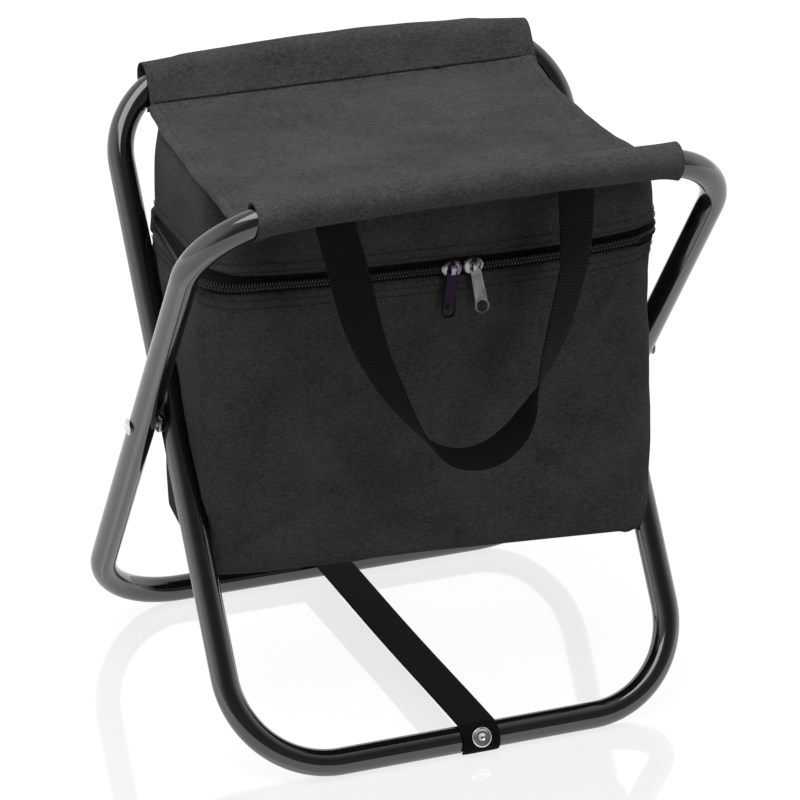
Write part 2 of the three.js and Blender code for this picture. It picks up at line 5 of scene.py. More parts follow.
import bpy
import numpy as np
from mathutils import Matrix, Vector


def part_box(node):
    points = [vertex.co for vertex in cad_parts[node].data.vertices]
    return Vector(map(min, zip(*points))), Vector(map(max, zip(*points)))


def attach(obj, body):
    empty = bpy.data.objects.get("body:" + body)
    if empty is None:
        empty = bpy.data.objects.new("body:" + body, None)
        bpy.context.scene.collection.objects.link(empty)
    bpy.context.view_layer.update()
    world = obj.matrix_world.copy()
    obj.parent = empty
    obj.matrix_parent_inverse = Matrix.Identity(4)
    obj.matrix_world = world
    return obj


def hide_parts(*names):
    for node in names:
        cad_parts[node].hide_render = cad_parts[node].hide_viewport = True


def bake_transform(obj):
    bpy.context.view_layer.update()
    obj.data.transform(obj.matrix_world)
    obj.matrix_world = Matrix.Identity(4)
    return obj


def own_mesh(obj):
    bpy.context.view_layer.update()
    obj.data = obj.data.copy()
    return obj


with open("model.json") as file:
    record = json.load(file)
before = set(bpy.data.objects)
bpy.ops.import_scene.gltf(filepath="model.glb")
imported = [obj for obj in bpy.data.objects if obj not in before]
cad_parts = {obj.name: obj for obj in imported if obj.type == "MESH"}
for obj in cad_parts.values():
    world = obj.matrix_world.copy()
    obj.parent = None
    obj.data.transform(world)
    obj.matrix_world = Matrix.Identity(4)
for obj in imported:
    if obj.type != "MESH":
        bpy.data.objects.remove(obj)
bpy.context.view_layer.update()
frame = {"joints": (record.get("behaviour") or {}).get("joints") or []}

# Frame loops. Each is one closed loop of black enamelled steel tube, bent round at its four corners.
# The outer loop leans with its top bar to the front, the inner one with its top bar to the rear.
joints = {joint["name"]: joint for joint in frame["joints"]}
pivot = np.array(joints["fold"]["pos_m"])
lean = np.radians(34.9)
half_leg = 0.2124
tube_r = 0.008
top_bend = 0.051
foot_bend = 0.059
outer_half = 0.1565
inner_half = 0.1379
top_drop = 0.004
bow = 0.25
splay = 0.004


def rounded(share, half_x, half_y, radius):
    """Points, outward directions and length of a rounded rectangle, at shares of the way round it from the
    middle of its far side, turning left. On a bend the arc's centre stays put and the direction turns, and
    on a straight the centre moves and the direction stays."""
    middle_x = half_x - radius
    middle_y = half_y - radius
    bend = np.pi / 2 * radius
    marks = [0, middle_x, bend, 2 * middle_y, bend, 2 * middle_x, bend, 2 * middle_y, bend, middle_x]
    marks = np.cumsum(marks)
    far = np.asarray(share) * marks[-1]
    turn = np.interp(far, marks, np.pi / 2 * np.array([1, 1, 2, 2, 3, 3, 4, 4, 5, 5]))
    x = np.interp(far, marks, middle_x * np.array([0, -1, -1, -1, -1, 1, 1, 1, 1, 0]))
    y = np.interp(far, marks, middle_y * np.array([1, 1, 1, -1, -1, -1, -1, 1, 1, 1]))
    out = np.stack([np.cos(turn), np.sin(turn)], -1)
    return np.stack([x, y], -1) + radius * out, out, marks[-1]


def ring(count, half_a, half_b):
    """The points of an oval section: half_a * cos and half_b * sin of a full turn."""
    turn = np.linspace(0, 2 * np.pi, count, endpoint=False)
    return np.stack([half_a * np.cos(turn), half_b * np.sin(turn)], -1)


def headings(path, closed=False):
    """Unit directions along a row of points, from the points before and after each."""
    if closed:
        run = np.roll(path, -1, 0) - np.roll(path, 1, 0)
    else:
        run = np.gradient(path, axis=0)
    return run / np.linalg.norm(run, axis=-1, keepdims=True)


def carry(section, path, tangent, across):
    """A section carried along a path: each point is path + a * across + b * (tangent x across)."""
    through = np.cross(tangent, across)
    sideways = section[..., 0, None] * across[:, None]
    return path[:, None] + sideways + section[..., 1, None] * through[:, None]


def grid(points, wraps="", caps=(), weave=None):
    """Four-cornered faces over rows and columns of points. wraps names the directions that close, caps
    lists the end rows, 0 and -1, that are filled with strips, and weave gives the cloth's own coordinates in
    metres, with a row or column more than the points on a direction that closes."""
    rows, columns = points.shape[:2]
    index = np.arange(rows * columns).reshape(rows, columns)
    if "rows" in wraps:
        index = np.concatenate([index, index[:1]])
    if "columns" in wraps:
        index = np.concatenate([index, index[:, :1]], 1)

    def corners(table):
        """The four corners of each face, from a table of rows and columns."""
        found = [table[:-1, :-1], table[:-1, 1:], table[1:, 1:], table[1:, :-1]]
        return np.stack(found, 2).reshape(-1, 4, *table.shape[2:])

    faces = [corners(index)]
    marks = [np.zeros((len(faces[0]), 4, 2)) if weave is None else corners(weave)]
    half = columns // 2
    for end in caps:
        rim = index[end, :columns] if end else index[end, :columns][::-1]
        back = rim[::-1]
        faces.append(np.stack([rim[: half - 1], rim[1:half], back[1:half], back[: half - 1]], -1))
        marks.append(np.zeros((half - 1, 4, 2)))
    return points.reshape(-1, 3), np.concatenate(faces), np.concatenate(marks)


def piece(name, parts, finish):
    """One smooth object from parts of points, faces and weave coordinates, with its place in its mesh."""
    starts = np.cumsum([0] + [len(points) for points, _, _ in parts])
    faces = np.concatenate([faces + start for (_, faces, _), start in zip(parts, starts)])
    mesh = bpy.data.meshes.new(name)
    mesh.from_pydata(np.concatenate([points for points, _, _ in parts]).tolist(), [], faces.tolist())
    weave = mesh.uv_layers.new(name="weave")
    weave.data.foreach_set("uv", np.concatenate([marks for _, _, marks in parts]).ravel())
    mesh.polygons.foreach_set("use_smooth", np.ones(len(faces), bool))
    mesh.materials.append(finish)
    made = bpy.data.objects.new(name, mesh)
    bpy.context.collection.objects.link(made)
    return made


class Socket:
    """One output of a material's node. Sums, differences, products and quotients add Math nodes."""

    def __init__(self, tree, out):
        self.tree = tree
        self.out = out

    def node(self, kind, settings=None, inputs=None):
        """Adds a node of a kind: its settings first, then the values or links of its sockets."""
        made = self.tree.nodes.new(kind)
        for name, value in (settings or {}).items():
            setattr(made, name, value)
        for name, value in (inputs or {}).items():
            if isinstance(value, Socket):
                self.tree.links.new(value.out, made.inputs[name])
            else:
                made.inputs[name].default_value = value
        return Socket(self.tree, made.outputs[0])

    def output(self, name):
        """Another output of the same node."""
        return Socket(self.tree, self.out.node.outputs[name])

    def math(self, operation, *others):
        """A Math node of this value and others."""
        return self.node("ShaderNodeMath", {"operation": operation}, dict(enumerate((self, *others))))

    def __add__(self, other):
        return self.math("ADD", other)

    __radd__ = __add__

    def __mul__(self, other):
        return self.math("MULTIPLY", other)

    __rmul__ = __mul__

    def __sub__(self, other):
        return self.math("SUBTRACT", other)

    def __rsub__(self, other):
        return self.math("MULTIPLY", -1).math("ADD", other)

    def __truediv__(self, other):
        return self.math("DIVIDE", other)

    def between(self, low, high):
        """0 below low and 1 above high, smooth between them."""
        settings = {"interpolation_type": "SMOOTHSTEP"}
        return self.node("ShaderNodeMapRange", settings, {"Value": self, "From Min": low, "From Max": high})

    def mix(self, low, high):
        """The colour from low, where this is 0, to high, where it is 1."""
        inputs = {0: self, 6: low, 7: high}
        made = self.node("ShaderNodeMix", {"data_type": "RGBA"}, inputs)
        return made.output(2)

    def noise(self, scale, detail=2.0, roughness=0.5):
        """A cloudy value round 0.5 at these coordinates, scale clouds to the metre."""
        inputs = {"Vector": self, "Scale": scale, "Detail": detail, "Roughness": roughness}
        return self.node("ShaderNodeTexNoise", {}, inputs).output("Fac")

    def bump(self, height, strength=1.0):
        """A normal for a relief of this value times height, in metres."""
        inputs = {"Height": self, "Distance": height, "Strength": strength}
        return self.node("ShaderNodeBump", {}, inputs)

    def feed(self, shader, name):
        """Links this output to a shader's socket."""
        self.tree.links.new(self.out, shader.inputs[name])


def grey(value):
    """A grey colour."""
    return (value, value, value, 1.0)


def finish_of(name, values):
    """A new material with plain shader values: the material, its shader, and its Object coordinates."""
    made = bpy.data.materials.new(name)
    made.use_nodes = True
    tree = made.node_tree
    shader = tree.nodes["Principled BSDF"]
    for socket, value in values.items():
        shader.inputs[socket].default_value = value
    place = Socket(tree, tree.nodes.new("ShaderNodeTexCoord").outputs["Object"])
    return made, shader, place


def enamel():
    """Black baked enamel: glossy, with a faint orange-peel relief, dust and a few dull handling marks."""
    made, shader, place = finish_of("black_enamel", {"IOR": 1.95})
    peel = place.noise(420, 2)
    dust = place.noise(1500, 3, 0.7).between(0.62, 0.8)
    rubbed = place.noise(38, 4, 0.6).between(0.5, 0.75)
    (dust * 0.4 + rubbed * 0.15).mix(grey(0.004), grey(0.03)).feed(shader, "Base Color")
    (rubbed * 0.1 + dust * 0.12 + 0.09).feed(shader, "Roughness")
    peel.bump(0.00004, 0.3).feed(shader, "Normal")
    return made


black_enamel = enamel()


def leaning(flat, side):
    """Points (x, u) of a loop's own plane in the frame, u along the leg, where side is +1 if it leans back:
    the pivot, plus x across, and u times the sine of the lean along y and its cosine along z."""
    x, u = flat[..., 0], flat[..., 1]
    return pivot + np.stack([x, side * np.sin(lean) * u, np.cos(lean) * u], -1)


def settled(x, u):
    """A loop's points (x, u) with its top bar low, bowed and sprung out to the right: towards the top, u
    loses top_drop + bow * x * x, and x gains splay times its share of the way from left to right."""
    high = np.clip(u / half_leg, 0, 1)
    return x + high * splay * np.clip(0.5 + x / 0.28, 0, 1), u - high * (top_drop + bow * x**2)


def tube_loop(name, half_width, side, body, node):
    """A closed tube round a rounded rectangle in its leaning plane, a little flattened in the bends. Its
    upper half has tighter bends than its lower half, and the two meet along the straight legs."""
    share = np.linspace(0, 1, 420, endpoint=False)
    top, top_out, _ = rounded(share, half_width, half_leg, top_bend)
    foot, foot_out, _ = rounded(share, half_width, half_leg, foot_bend)
    upper = np.clip(0.5 + top[:, 1:] / 0.1, 0, 1)
    flat = foot + (top - foot) * upper
    out = foot_out + (top_out - foot_out) * upper
    flat = np.stack(settled(flat[:, 0], flat[:, 1]), -1)
    path = leaning(flat, side)
    across = leaning(out, side) - pivot
    bent = np.abs(out[:, 0] * out[:, 1]) * 2
    squeeze = np.stack([1 - 0.03 * bent, 1 + 0.02 * bent], -1)
    section = ring(36, tube_r, tube_r)[None] * squeeze[:, None]
    points = carry(section, path, headings(path, True), across)
    loop = piece(name, [grid(points, "rows columns")], black_enamel)
    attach(loop, body)
    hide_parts(node)


tube_loop("outer_loop", outer_half, -1, "outer_frame", "outer_frame_tube")
tube_loop("inner_loop", inner_half, 1, "inner_frame", "inner_frame_tube")

# Loop joints. The ends of each tube meet under its sleeve, over a plain plug that joins them.
# The plugs are turned steel, pressed into both ends.


def steel(name, tone, rough, tint=(1.0, 1.0, 1.0)):
    """Bare or tinted metal: fine cloudy wear, with roughness and tone that change together."""
    made, shader, place = finish_of(name, {"Metallic": 1.0})
    worn = place.noise(260, 4, 0.6)
    colour = [tone * part for part in tint]
    worn.mix((*np.multiply(colour, 0.75), 1.0), (*colour, 1.0)).feed(shader, "Base Color")
    (worn * 0.2 + (rough - 0.1)).feed(shader, "Roughness")
    place.noise(1800, 3).bump(0.00003, 0.3).feed(shader, "Normal")
    return made


plain_steel = steel("plain_steel", 0.42, 0.38)


def turned(profile, origin, axis, sides=32):
    """A profile of (radius, height) turned round an axis through an origin, closed at both ends."""
    axis = np.asarray(axis, float) / np.linalg.norm(axis)
    first = np.cross(axis, (0.0, 0.0, 1.0) if abs(axis[2]) < 0.9 else (1.0, 0.0, 0.0))
    first /= np.linalg.norm(first)
    second = np.cross(axis, first)
    round_it = ring(sides, 1, 1)
    radial = round_it[:, :1] * first + round_it[:, 1:] * second
    points = np.asarray(origin) + profile[:, 1, None, None] * axis + profile[:, 0, None, None] * radial
    return grid(points, "columns", (0, -1))


def tube_plug(name, side, body, node):
    """The plug in a top bar's middle, turned from a profile: a plain bar with chamfered ends and a groove
    where the tube's ends meet."""
    half, radius, chamfer = 0.045, 0.0066, 0.0015
    end = [(0.0004, half), (radius - chamfer, half), (radius, half - chamfer)]
    end += [(radius, 0.0009), (radius - 0.0005, 0.0004)]
    profile = np.concatenate([np.array(end) * (1, -1), np.array(end)[::-1]])
    middle = leaning(np.array(settled(0.0, half_leg)), side)
    plug = piece(name, [turned(profile, middle, (1, 0, 0))], plain_steel)
    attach(plug, body)
    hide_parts(node)


tube_plug("outer_plug", -1, "outer_frame", "outer_frame_plug")
tube_plug("inner_plug", 1, "inner_frame", "inner_frame_plug")

# Pivot studs. A bright domed stud goes through both legs on each side, with a pressed washer between the
# tubes, and its tail is spread inside the inner leg.
bright_steel = steel("bright_steel", 0.8, 0.2)


def arc(centre, radius, start, end, count):
    """Points of a circle round a centre, from one angle to another, in radians."""
    turn = np.linspace(start, end, count)
    return np.stack([centre[0] + radius * np.cos(turn), centre[1] + radius * np.sin(turn)], -1)


def pivot_side(name, side):
    """The stud's profile, from the spread tail inside to the domed head outside, and the washer's."""
    tail_x, head_x = 0.12764, 0.16496
    head = [(0.0047, head_x), (0.005, head_x + 0.0002), (0.005, head_x + 0.0006)]
    dome = arc((0, head_x - 0.0024), 0.0048, np.radians(37), np.radians(88), 12)
    dome[:, 0] *= 0.0048 / dome[0, 0]
    profile = np.concatenate([
        [(0.0004, tail_x), (0.0034, tail_x), (0.0045, tail_x + 0.0009), (0.0045, tail_x + 0.0018)],
        [(0.003, tail_x + 0.0019), (0.003, head_x)],
        head,
        dome,
    ])
    stud = piece(name + "_pivot_stud", [turned(profile, (0, 0, pivot[2]), (side, 0, 0))], bright_steel)
    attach(stud, "outer_frame")
    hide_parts(name + "_pivot_rivet")
    near, far = 0.14626, 0.14814
    lip = [(0.0031, near), (0.0055, near), (0.006, near + 0.0005)]
    lip += [(0.006, far - 0.0005), (0.0055, far), (0.0031, far)]
    pressed = turned(np.array(lip), (0, 0, pivot[2]), (side, 0, 0))
    washer = piece(name + "_pivot_washer", [pressed], plain_steel)
    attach(washer, "outer_frame")
    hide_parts(name + "_pivot_spacer")


pivot_side("left", -1)
pivot_side("right", 1)

# Floor strap. Smooth black webbing runs from bar to bar near the floor and stops the legs from spreading.
# Each end goes over its bar and down the outside, where one bright stud holds it to the tube.


def woven(place):
    """The weave coordinates of a cloth piece, as one vector and taken apart."""
    weave = place.node("ShaderNodeUVMap", {"uv_map": "weave"})
    return weave, weave.node("ShaderNodeSeparateXYZ", {}, {0: weave})


def webbing(name, tone, rib, relief):
    """Woven nylon tape: ribs across it, a rib's width apart, with fuzz and a slight change of tone. The
    colour is also darker between the ribs and yarns: painted shade in the valleys.
    """
    made, shader, place = finish_of(name, {"Specular IOR Level": 0.06, "Sheen Weight": 0.01})
    _, flat = woven(place)
    ribs = (flat.output("Y") * (np.pi / rib)).math("SINE").math("ABSOLUTE")
    yarns = (flat.output("X") * (np.pi / 0.0006)).math("SINE").math("ABSOLUTE")
    fuzz = place.noise(2600, 2, 0.6)
    wear = place.noise(24, 3, 0.6)
    height = ribs * 0.75 + yarns * 0.25
    # The rib and yarn height also darkens the colour in the valleys between them: painted shade, beside the
    # real fuzz and tone.
    shade = height * 0.9 + fuzz * 0.4 + wear * 0.4 - 0.4
    shade.mix(grey(tone * 0.3), grey(tone * 1.7)).feed(shader, "Base Color")
    (fuzz * 0.2 + 0.6).feed(shader, "Roughness")
    height.bump(relief, 0.8).feed(shader, "Normal")
    return made


# The strap's tone is set darker than the grips' webbing to darken its up-facing top: painted shade over the
# black nylon's own colour.
strap_webbing = webbing("strap_webbing", 0.0065, 0.0011, 0.00015)
bar_y = half_leg * np.sin(lean)
floor_z = pivot[2] - half_leg * np.cos(lean)
strap_x = 0.0003
strap_slant = 0.0043
tape_thick = 0.0015


def distances(path):
    """How far each point of a row lies along it from the first."""
    return np.concatenate([[0], np.cumsum(np.linalg.norm(np.diff(path, axis=0), axis=1))])


def ribbon(path, across, width):
    """A flat tape carried along a path. Its section is an oval whose cosine and sine are raised to small
    powers, which makes it flat with rounded edges."""
    flat = ring(48, 1, 1)
    half = np.array([width / 2, tape_thick / 2])
    section = np.sign(flat) * np.abs(flat) ** np.array([0.35, 0.5]) * half
    points = carry(section, path, headings(path), across)
    far = distances(path)
    round_it = np.append(section[:, 0], section[0, 0])
    weave = np.stack(np.broadcast_arrays(round_it[None], far[:, None]), -1)
    return grid(points, "columns", (0, -1), weave)


def strap_path():
    """The strap's middle line from the front end round its bar, across near the floor, and round the rear
    bar. It lies a little to the right at the front, and sags between the bars by a squared sine."""
    wrap = 0.0092
    front = arc((-bar_y, floor_z), wrap, np.radians(222), np.radians(94), 26)
    share = np.linspace(0, 1, 60)[1:-1]
    sag = 0.0012 * np.sin(np.pi * share) ** 2
    span = np.stack([front[-1, 0] * (1 - share) - front[-1, 0] * share, front[-1, 1] - sag], -1)
    rear = front[::-1] * np.array([-1, 1])
    flat = np.concatenate([front, span, rear])
    x = strap_x - strap_slant * flat[:, 0] / bar_y
    return np.column_stack([x, flat])


strap_line = strap_path()
strap_across = np.broadcast_to((1.0, 0.0, 0.0), strap_line.shape)
floor_strap = piece("floor_strap", [ribbon(strap_line, strap_across, 0.023)], strap_webbing)
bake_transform(floor_strap)
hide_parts("rear_strap_end", "strap_span", "front_strap_end")


def strap_stud(name, side, body, node):
    """The stud's profile: shank, flat head with a raised rim, and a dimple in its middle."""
    base = 0.00998
    profile = np.array([
        (0.0004, 0.0042), (0.0032, 0.0042), (0.0033, 0.0058), (0.0024, 0.006), (0.0024, base),
        (0.0056, base), (0.006, base + 0.0004), (0.006, base + 0.0009), (0.0056, base + 0.0014),
        (0.0049, base + 0.0016), (0.0043, base + 0.0013), (0.0036, base + 0.0012), (0.0026, base + 0.0014),
        (0.002, base + 0.0013), (0.0015, base + 0.0006), (0.0004, base + 0.0004),
    ])
    tilt = np.radians(25)
    axis = (0, side * np.cos(tilt), np.sin(tilt))
    origin = (strap_x - strap_slant * side, side * bar_y, floor_z)
    stud = piece(name, [turned(profile, origin, axis, 36)], bright_steel)
    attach(stud, body)
    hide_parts(node)


strap_stud("front_strap_stud", -1, "inner_frame", "front_strap_rivet")
strap_stud("rear_strap_stud", 1, "outer_frame", "rear_strap_rivet")

# Bar sleeves. The grey twill of the seat is turned round each top bar and sewn to itself below it, so that
# it makes a sleeve, drop-shaped at its open ends, that the bar turns in.


def cloth(name, tone, relief=0.00016):
    """Heathered polyester twill: two-over-two yarns that step diagonally, with dark and pale fibres mixed,
    and lint. The colour is also a little darker between the yarns: painted shade in the weave's hollows."""
    made, shader, place = finish_of(name, {"Specular IOR Level": 0.12, "Sheen Weight": 0.04})
    weave, flat = woven(place)
    yarn = 0.00044
    warp = flat.output("X") / yarn
    weft = flat.output("Y") / yarn
    slub = place.noise(330, 2, 0.6) * 2.4
    over = ((warp + weft + slub) * (np.pi / 2)).math("SINE") * 0.5 + 0.5
    warp_round = (warp * np.pi).math("SINE").math("ABSOLUTE")
    weft_round = (weft * np.pi).math("SINE").math("ABSOLUTE")
    height = over * warp_round + (1 - over) * weft_round
    fibres = place.noise(1150, 3, 0.75)
    long_way = weave.node("ShaderNodeVectorMath", {"operation": "MULTIPLY"}, {0: weave, 1: (0.35, 1.0, 1.0)})
    flecks = long_way.noise(700, 2, 0.7) * 0.6 + place.noise(430, 2, 0.7) * 0.4
    clouds = place.noise(22, 5, 0.7)
    lint = place.noise(560, 1, 0.5).between(0.79, 0.82)
    # The yarns' height darkens the colour between them a little: painted shade in the weave's hollows, mixed
    # with the real fibres, flecks and clouds.
    mixed = over * 0.55 + height * 0.25 + fibres * 1.3 + flecks * 1.3 + clouds * 0.9 - 1.67
    twill = mixed.mix(grey(tone * 0.25), grey(tone * 1.75))
    lint.mix(twill, grey(tone * 2.4)).feed(shader, "Base Color")
    (fibres * 0.15 + 0.8).feed(shader, "Roughness")
    (height + fibres * 0.35).bump(relief, 0.7).feed(shader, "Normal")
    return made


seat_cloth = cloth("grey_twill", 0.085)
sleeve_r = 0.0096
bar_r = 0.0094
seam_r = 0.0007
seam_in = 0.0183
seam_down = 0.0163
top_u = half_leg - top_drop


def ripples(u, v, seed, length, count=9):
    """A sum of seeded waves over two coordinates in metres, lengths round the one given, within about 1."""
    chance = np.random.default_rng(seed)
    turn = chance.uniform(0, 2 * np.pi, count)
    wave = 2 * np.pi / (length * chance.uniform(0.6, 1.7, count))
    shift = chance.uniform(0, 2 * np.pi, count)
    size = chance.uniform(0.5, 1.0, count)
    each = zip(size, wave, turn, shift)
    sums = [s * np.sin(w * (u * np.cos(t) + v * np.sin(t)) + p) for s, w, t, p in each]
    return np.sum(sums, 0) / size.sum() * 2


def thicken(made, depth):
    """Gives a sheet its thickness behind its face."""
    wall = made.modifiers.new("thickness", "SOLIDIFY")
    wall.thickness = depth
    wall.offset = -1.0
    return made


def pulled(discs, start, count):
    """Cloth pulled round a row of discs, (a, b, radius), at each station: in every direction from the
    start, the furthest point of any disc, spaced evenly along the cloth. Also its length at each station."""
    turn = start + np.linspace(0, 2 * np.pi, 721)
    way = np.stack([np.cos(turn), np.sin(turn)], -1)
    reach = np.einsum("sdk,tk->sdt", discs[..., :2], way) + discs[..., 2:]
    chosen = np.take_along_axis(discs, reach.argmax(1)[..., None], 1)
    rim = chosen[..., :2] + chosen[..., 2:] * way
    far = np.cumsum(np.linalg.norm(np.diff(rim, axis=1, prepend=rim[:, :1]), axis=-1), 1)
    share = np.linspace(0, 1, count)
    evenly = [[np.interp(share * f[-1], f, c) for c in r.T] for r, f in zip(rim, far)]
    return np.moveaxis(np.array(evenly), 1, 2), far[:, -1]


def bar_sleeve(name, half_width, side, left, right, crest, body, node, seed):
    """The cloth pulled round three discs, from x = left to x = right: a roof that stays up where the bar
    bends down, the bar itself, and the seam. It ripples, and its mouths are a little loose. crest gives the
    roof's highest place and height, and how it falls away, by the square, to the left and to the right."""
    x = np.linspace(left, right, 120)
    past = np.clip((np.abs(x) - half_width - np.where(x > 0, splay, 0) + top_bend) / top_bend, 0, 1)
    bent = top_bend * (1 - np.sqrt(1 - past**2))
    bar = settled(x, half_leg - bent)[1] - top_u
    roof = crest[1] - np.where(x < crest[0], crest[2], crest[3]) * (x - crest[0]) ** 2
    seam_a = -(np.sin(lean) * seam_in + np.cos(lean) * seam_down)
    seam_b = side * (np.cos(lean) * seam_in - np.sin(lean) * seam_down)
    none = 0 * x
    discs = np.stack([
        np.stack([roof, none, none + sleeve_r], -1),
        np.stack([bar, none, none + bar_r], -1),
        np.stack([none + seam_a, none + seam_b, none + seam_r], -1),
    ], 1)
    section, length = pulled(discs, np.arctan2(seam_b, seam_a), 72)
    along, round_it = np.meshgrid(x, np.linspace(0, 1, 72), indexing="ij")
    round_it = round_it * length[:, None]
    mouth = np.exp(-((right - x) / 0.007) ** 2) + np.exp(-((x - left) / 0.007) ** 2)
    free = np.sin(np.pi * np.linspace(0, 1, 72)) ** 0.7
    stretch = 1 + free * (0.016 * ripples(along, round_it, seed, 0.03) + 0.012 + 0.05 * mouth[:, None])
    path = leaning(np.stack([x, none + top_u], -1), side)
    tangent = np.broadcast_to((1.0, 0.0, 0.0), path.shape)
    across = np.broadcast_to((0.0, side * np.sin(lean), np.cos(lean)), path.shape)
    points = carry(section * stretch[..., None], path, tangent, across)
    weave = np.stack([along, -round_it], -1)
    sleeve = thicken(piece(name, [grid(points, weave=weave)], seat_cloth), 0.0009)
    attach(sleeve, body)
    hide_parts(node)


front_crest = (0.0, 0.0004, 0.32, 0.17)
rear_crest = (0.012, 0.0003, 0.3, 0.5)
bar_sleeve(
    "front_bar_sleeve", outer_half, -1, -0.1258, 0.1246, front_crest, "outer_frame", "front_sleeve", 3
)
bar_sleeve("rear_bar_sleeve", inner_half, 1, -0.1157, 0.1275, rear_crest, "inner_frame", "rear_sleeve", 4)

# Seat. One panel of the same twill is slung between the two sleeves, with a turned and stitched hem along
# each side. It sags a little, and its edges draw in between the bars.
seam_y = top_u * np.sin(lean) - seam_in
seat_z = pivot[2] + top_u * np.cos(lean) - seam_down
hem_row = 0.0062
welt_row = 0.0066


def seat_edges(y):
    """Where the seat's left and right hems lie: each a slant and a square of y, drawn in between the bars,
    with a little waver. The right one turns in again near the front."""
    waver = 0.0006
    left = -0.1262 + 0.045 * y + 0.35 * y**2 + waver * ripples(y, 0 * y, 14, 0.03)
    front_corner = 4.4 * np.clip(-y - 0.06, 0, 1) ** 2
    right = 0.119 - 0.02 * y + y**2 - front_corner + waver * ripples(y, 0 * y, 15, 0.03)
    return left, right


def seat_height(x, y, inside):
    """The seat's top: a shallow sag, soft ripples, a pucker near the left hem, and a hem that is twice as
    thick and turns down at its edge. inside is the distance in from the nearer hem."""
    sag = 0.0022 * np.cos(np.pi / 2 * y / seam_y) ** 2 * np.clip(inside / 0.05, 0, 1)
    soft = 0.0005 * ripples(x, y, 11, 0.05) + 0.00025 * ripples(x, y, 12, 0.02)
    slant = (x + 0.098) * 0.75 + (y + 0.028) * 0.66
    beside = (x + 0.098) * -0.66 + (y + 0.028) * 0.75
    pucker = 0.0016 * np.exp(-((slant / 0.02) ** 2) - (beside / 0.006) ** 2) * np.sin(beside / 0.0045)
    hem = 0.0011 / (1 + np.exp((inside - 0.0092) / 0.0004))
    hem = hem - 0.0008 * np.exp(-(((inside - hem_row) / 0.0008) ** 2))
    edge = 0.0022 * np.exp(-((inside / 0.0016) ** 2))
    return seat_z + 0.0005 - sag + soft + pucker + hem - edge


def seat_points(share_x, y):
    """Points of the seat's top at shares across it and places front to back. A welt runs along each sleeve's
    seam, with a crease between them."""
    left, right = seat_edges(y)
    x = left + (right - left) * share_x
    inside = np.minimum(x - left, right - x)
    from_seam = np.clip(seam_y - np.abs(y), 0, None)
    fade = np.clip(from_seam / 0.008, 0, 1)
    welt = 0.0019 / (1 + np.exp((from_seam - 0.0085) / 0.0006))
    welt = welt - 0.0044 * np.exp(-((from_seam / 0.0026) ** 2))
    sewn_in = 0.0009 * np.exp(-(((from_seam - welt_row) / 0.0007) ** 2))
    waver = 1 + 0.25 * ripples(x, 0 * y, 13, 0.03)
    z = seat_z * (1 - fade) + seat_height(x, y, inside) * fade + welt * waver - sewn_in
    return np.stack([x, y, z], -1)


def seat():
    """The panel over shares across and places front to back, thickened below."""
    spread = np.linspace(-1, 1, 170)
    share = 0.5 + 0.5 * np.sin(np.pi / 2 * spread)
    y = (seam_y + 0.0006) * np.sin(np.pi / 2 * np.linspace(-1, 1, 190))
    table_y, table_x = np.meshgrid(y, share, indexing="ij")
    points = seat_points(table_x, table_y)[::-1]
    panel = thicken(piece("seat_sling", [grid(points, weave=points[..., :2])], seat_cloth), 0.0012)
    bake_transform(panel)
    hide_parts("seat_panel")
    return panel


seat_sling = seat()


def stitch(length, thick):
    """One stitch: a six-sided thread that rises out of the cloth and goes back into it."""
    share = np.linspace(-1, 1, 5)
    path = np.stack([share * length / 2, 0 * share, thick * (0.75 - share**4)], -1)
    tangent = headings(path)
    across = np.broadcast_to((0.0, 1.0, 0.0), path.shape)
    return grid(carry(ring(6, thick / 2, thick / 2), path, tangent, across), "columns", (0, -1))


def strew(shape, places, axes):
    """Copies of a small shape at places, each turned to its own three axes."""
    points, faces, marks = shape
    spots = places[:, None] + np.einsum("pk,nkc->npc", points, axes)
    step = len(points) * np.arange(len(places))[:, None, None]
    copies = np.tile(marks, (len(places), 1, 1))
    return spots.reshape(-1, 3), (faces + step).reshape(-1, 4), copies


def spaced(path, up, pitch):
    """Places every pitch along a row of points, with the heading and the cloth's facing at each."""
    far = distances(path)
    at = np.arange(pitch / 2, far[-1], pitch)
    table = np.hstack([path, headings(path), np.broadcast_to(up, path.shape)])
    found = np.stack([np.interp(at, far, column) for column in table.T], -1)
    return found[:, :3], found[:, 3:6], found[:, 6:]


def sewn(path, up, length=0.003, pitch=0.0037, thick=0.0005):
    """A row of stitches along a path on cloth whose face points up."""
    places, run, up = spaced(path, up, pitch)
    side = np.cross(up, run)
    side /= np.linalg.norm(side, axis=1, keepdims=True)
    return strew(stitch(length, thick), places, np.stack([run, side, np.cross(run, side)], 1))


def thread(name, tone):
    """Polyester sewing thread: dark, a little shiny, with a fine twist."""
    made, shader, place = finish_of(name, {"Specular IOR Level": 0.2, "Sheen Weight": 0.03})
    twist = place.noise(2400, 2)
    twist.mix(grey(tone * 0.6), grey(tone * 1.4)).feed(shader, "Base Color")
    (twist * 0.2 + 0.5).feed(shader, "Roughness")
    return made


black_thread = thread("black_thread", 0.026)


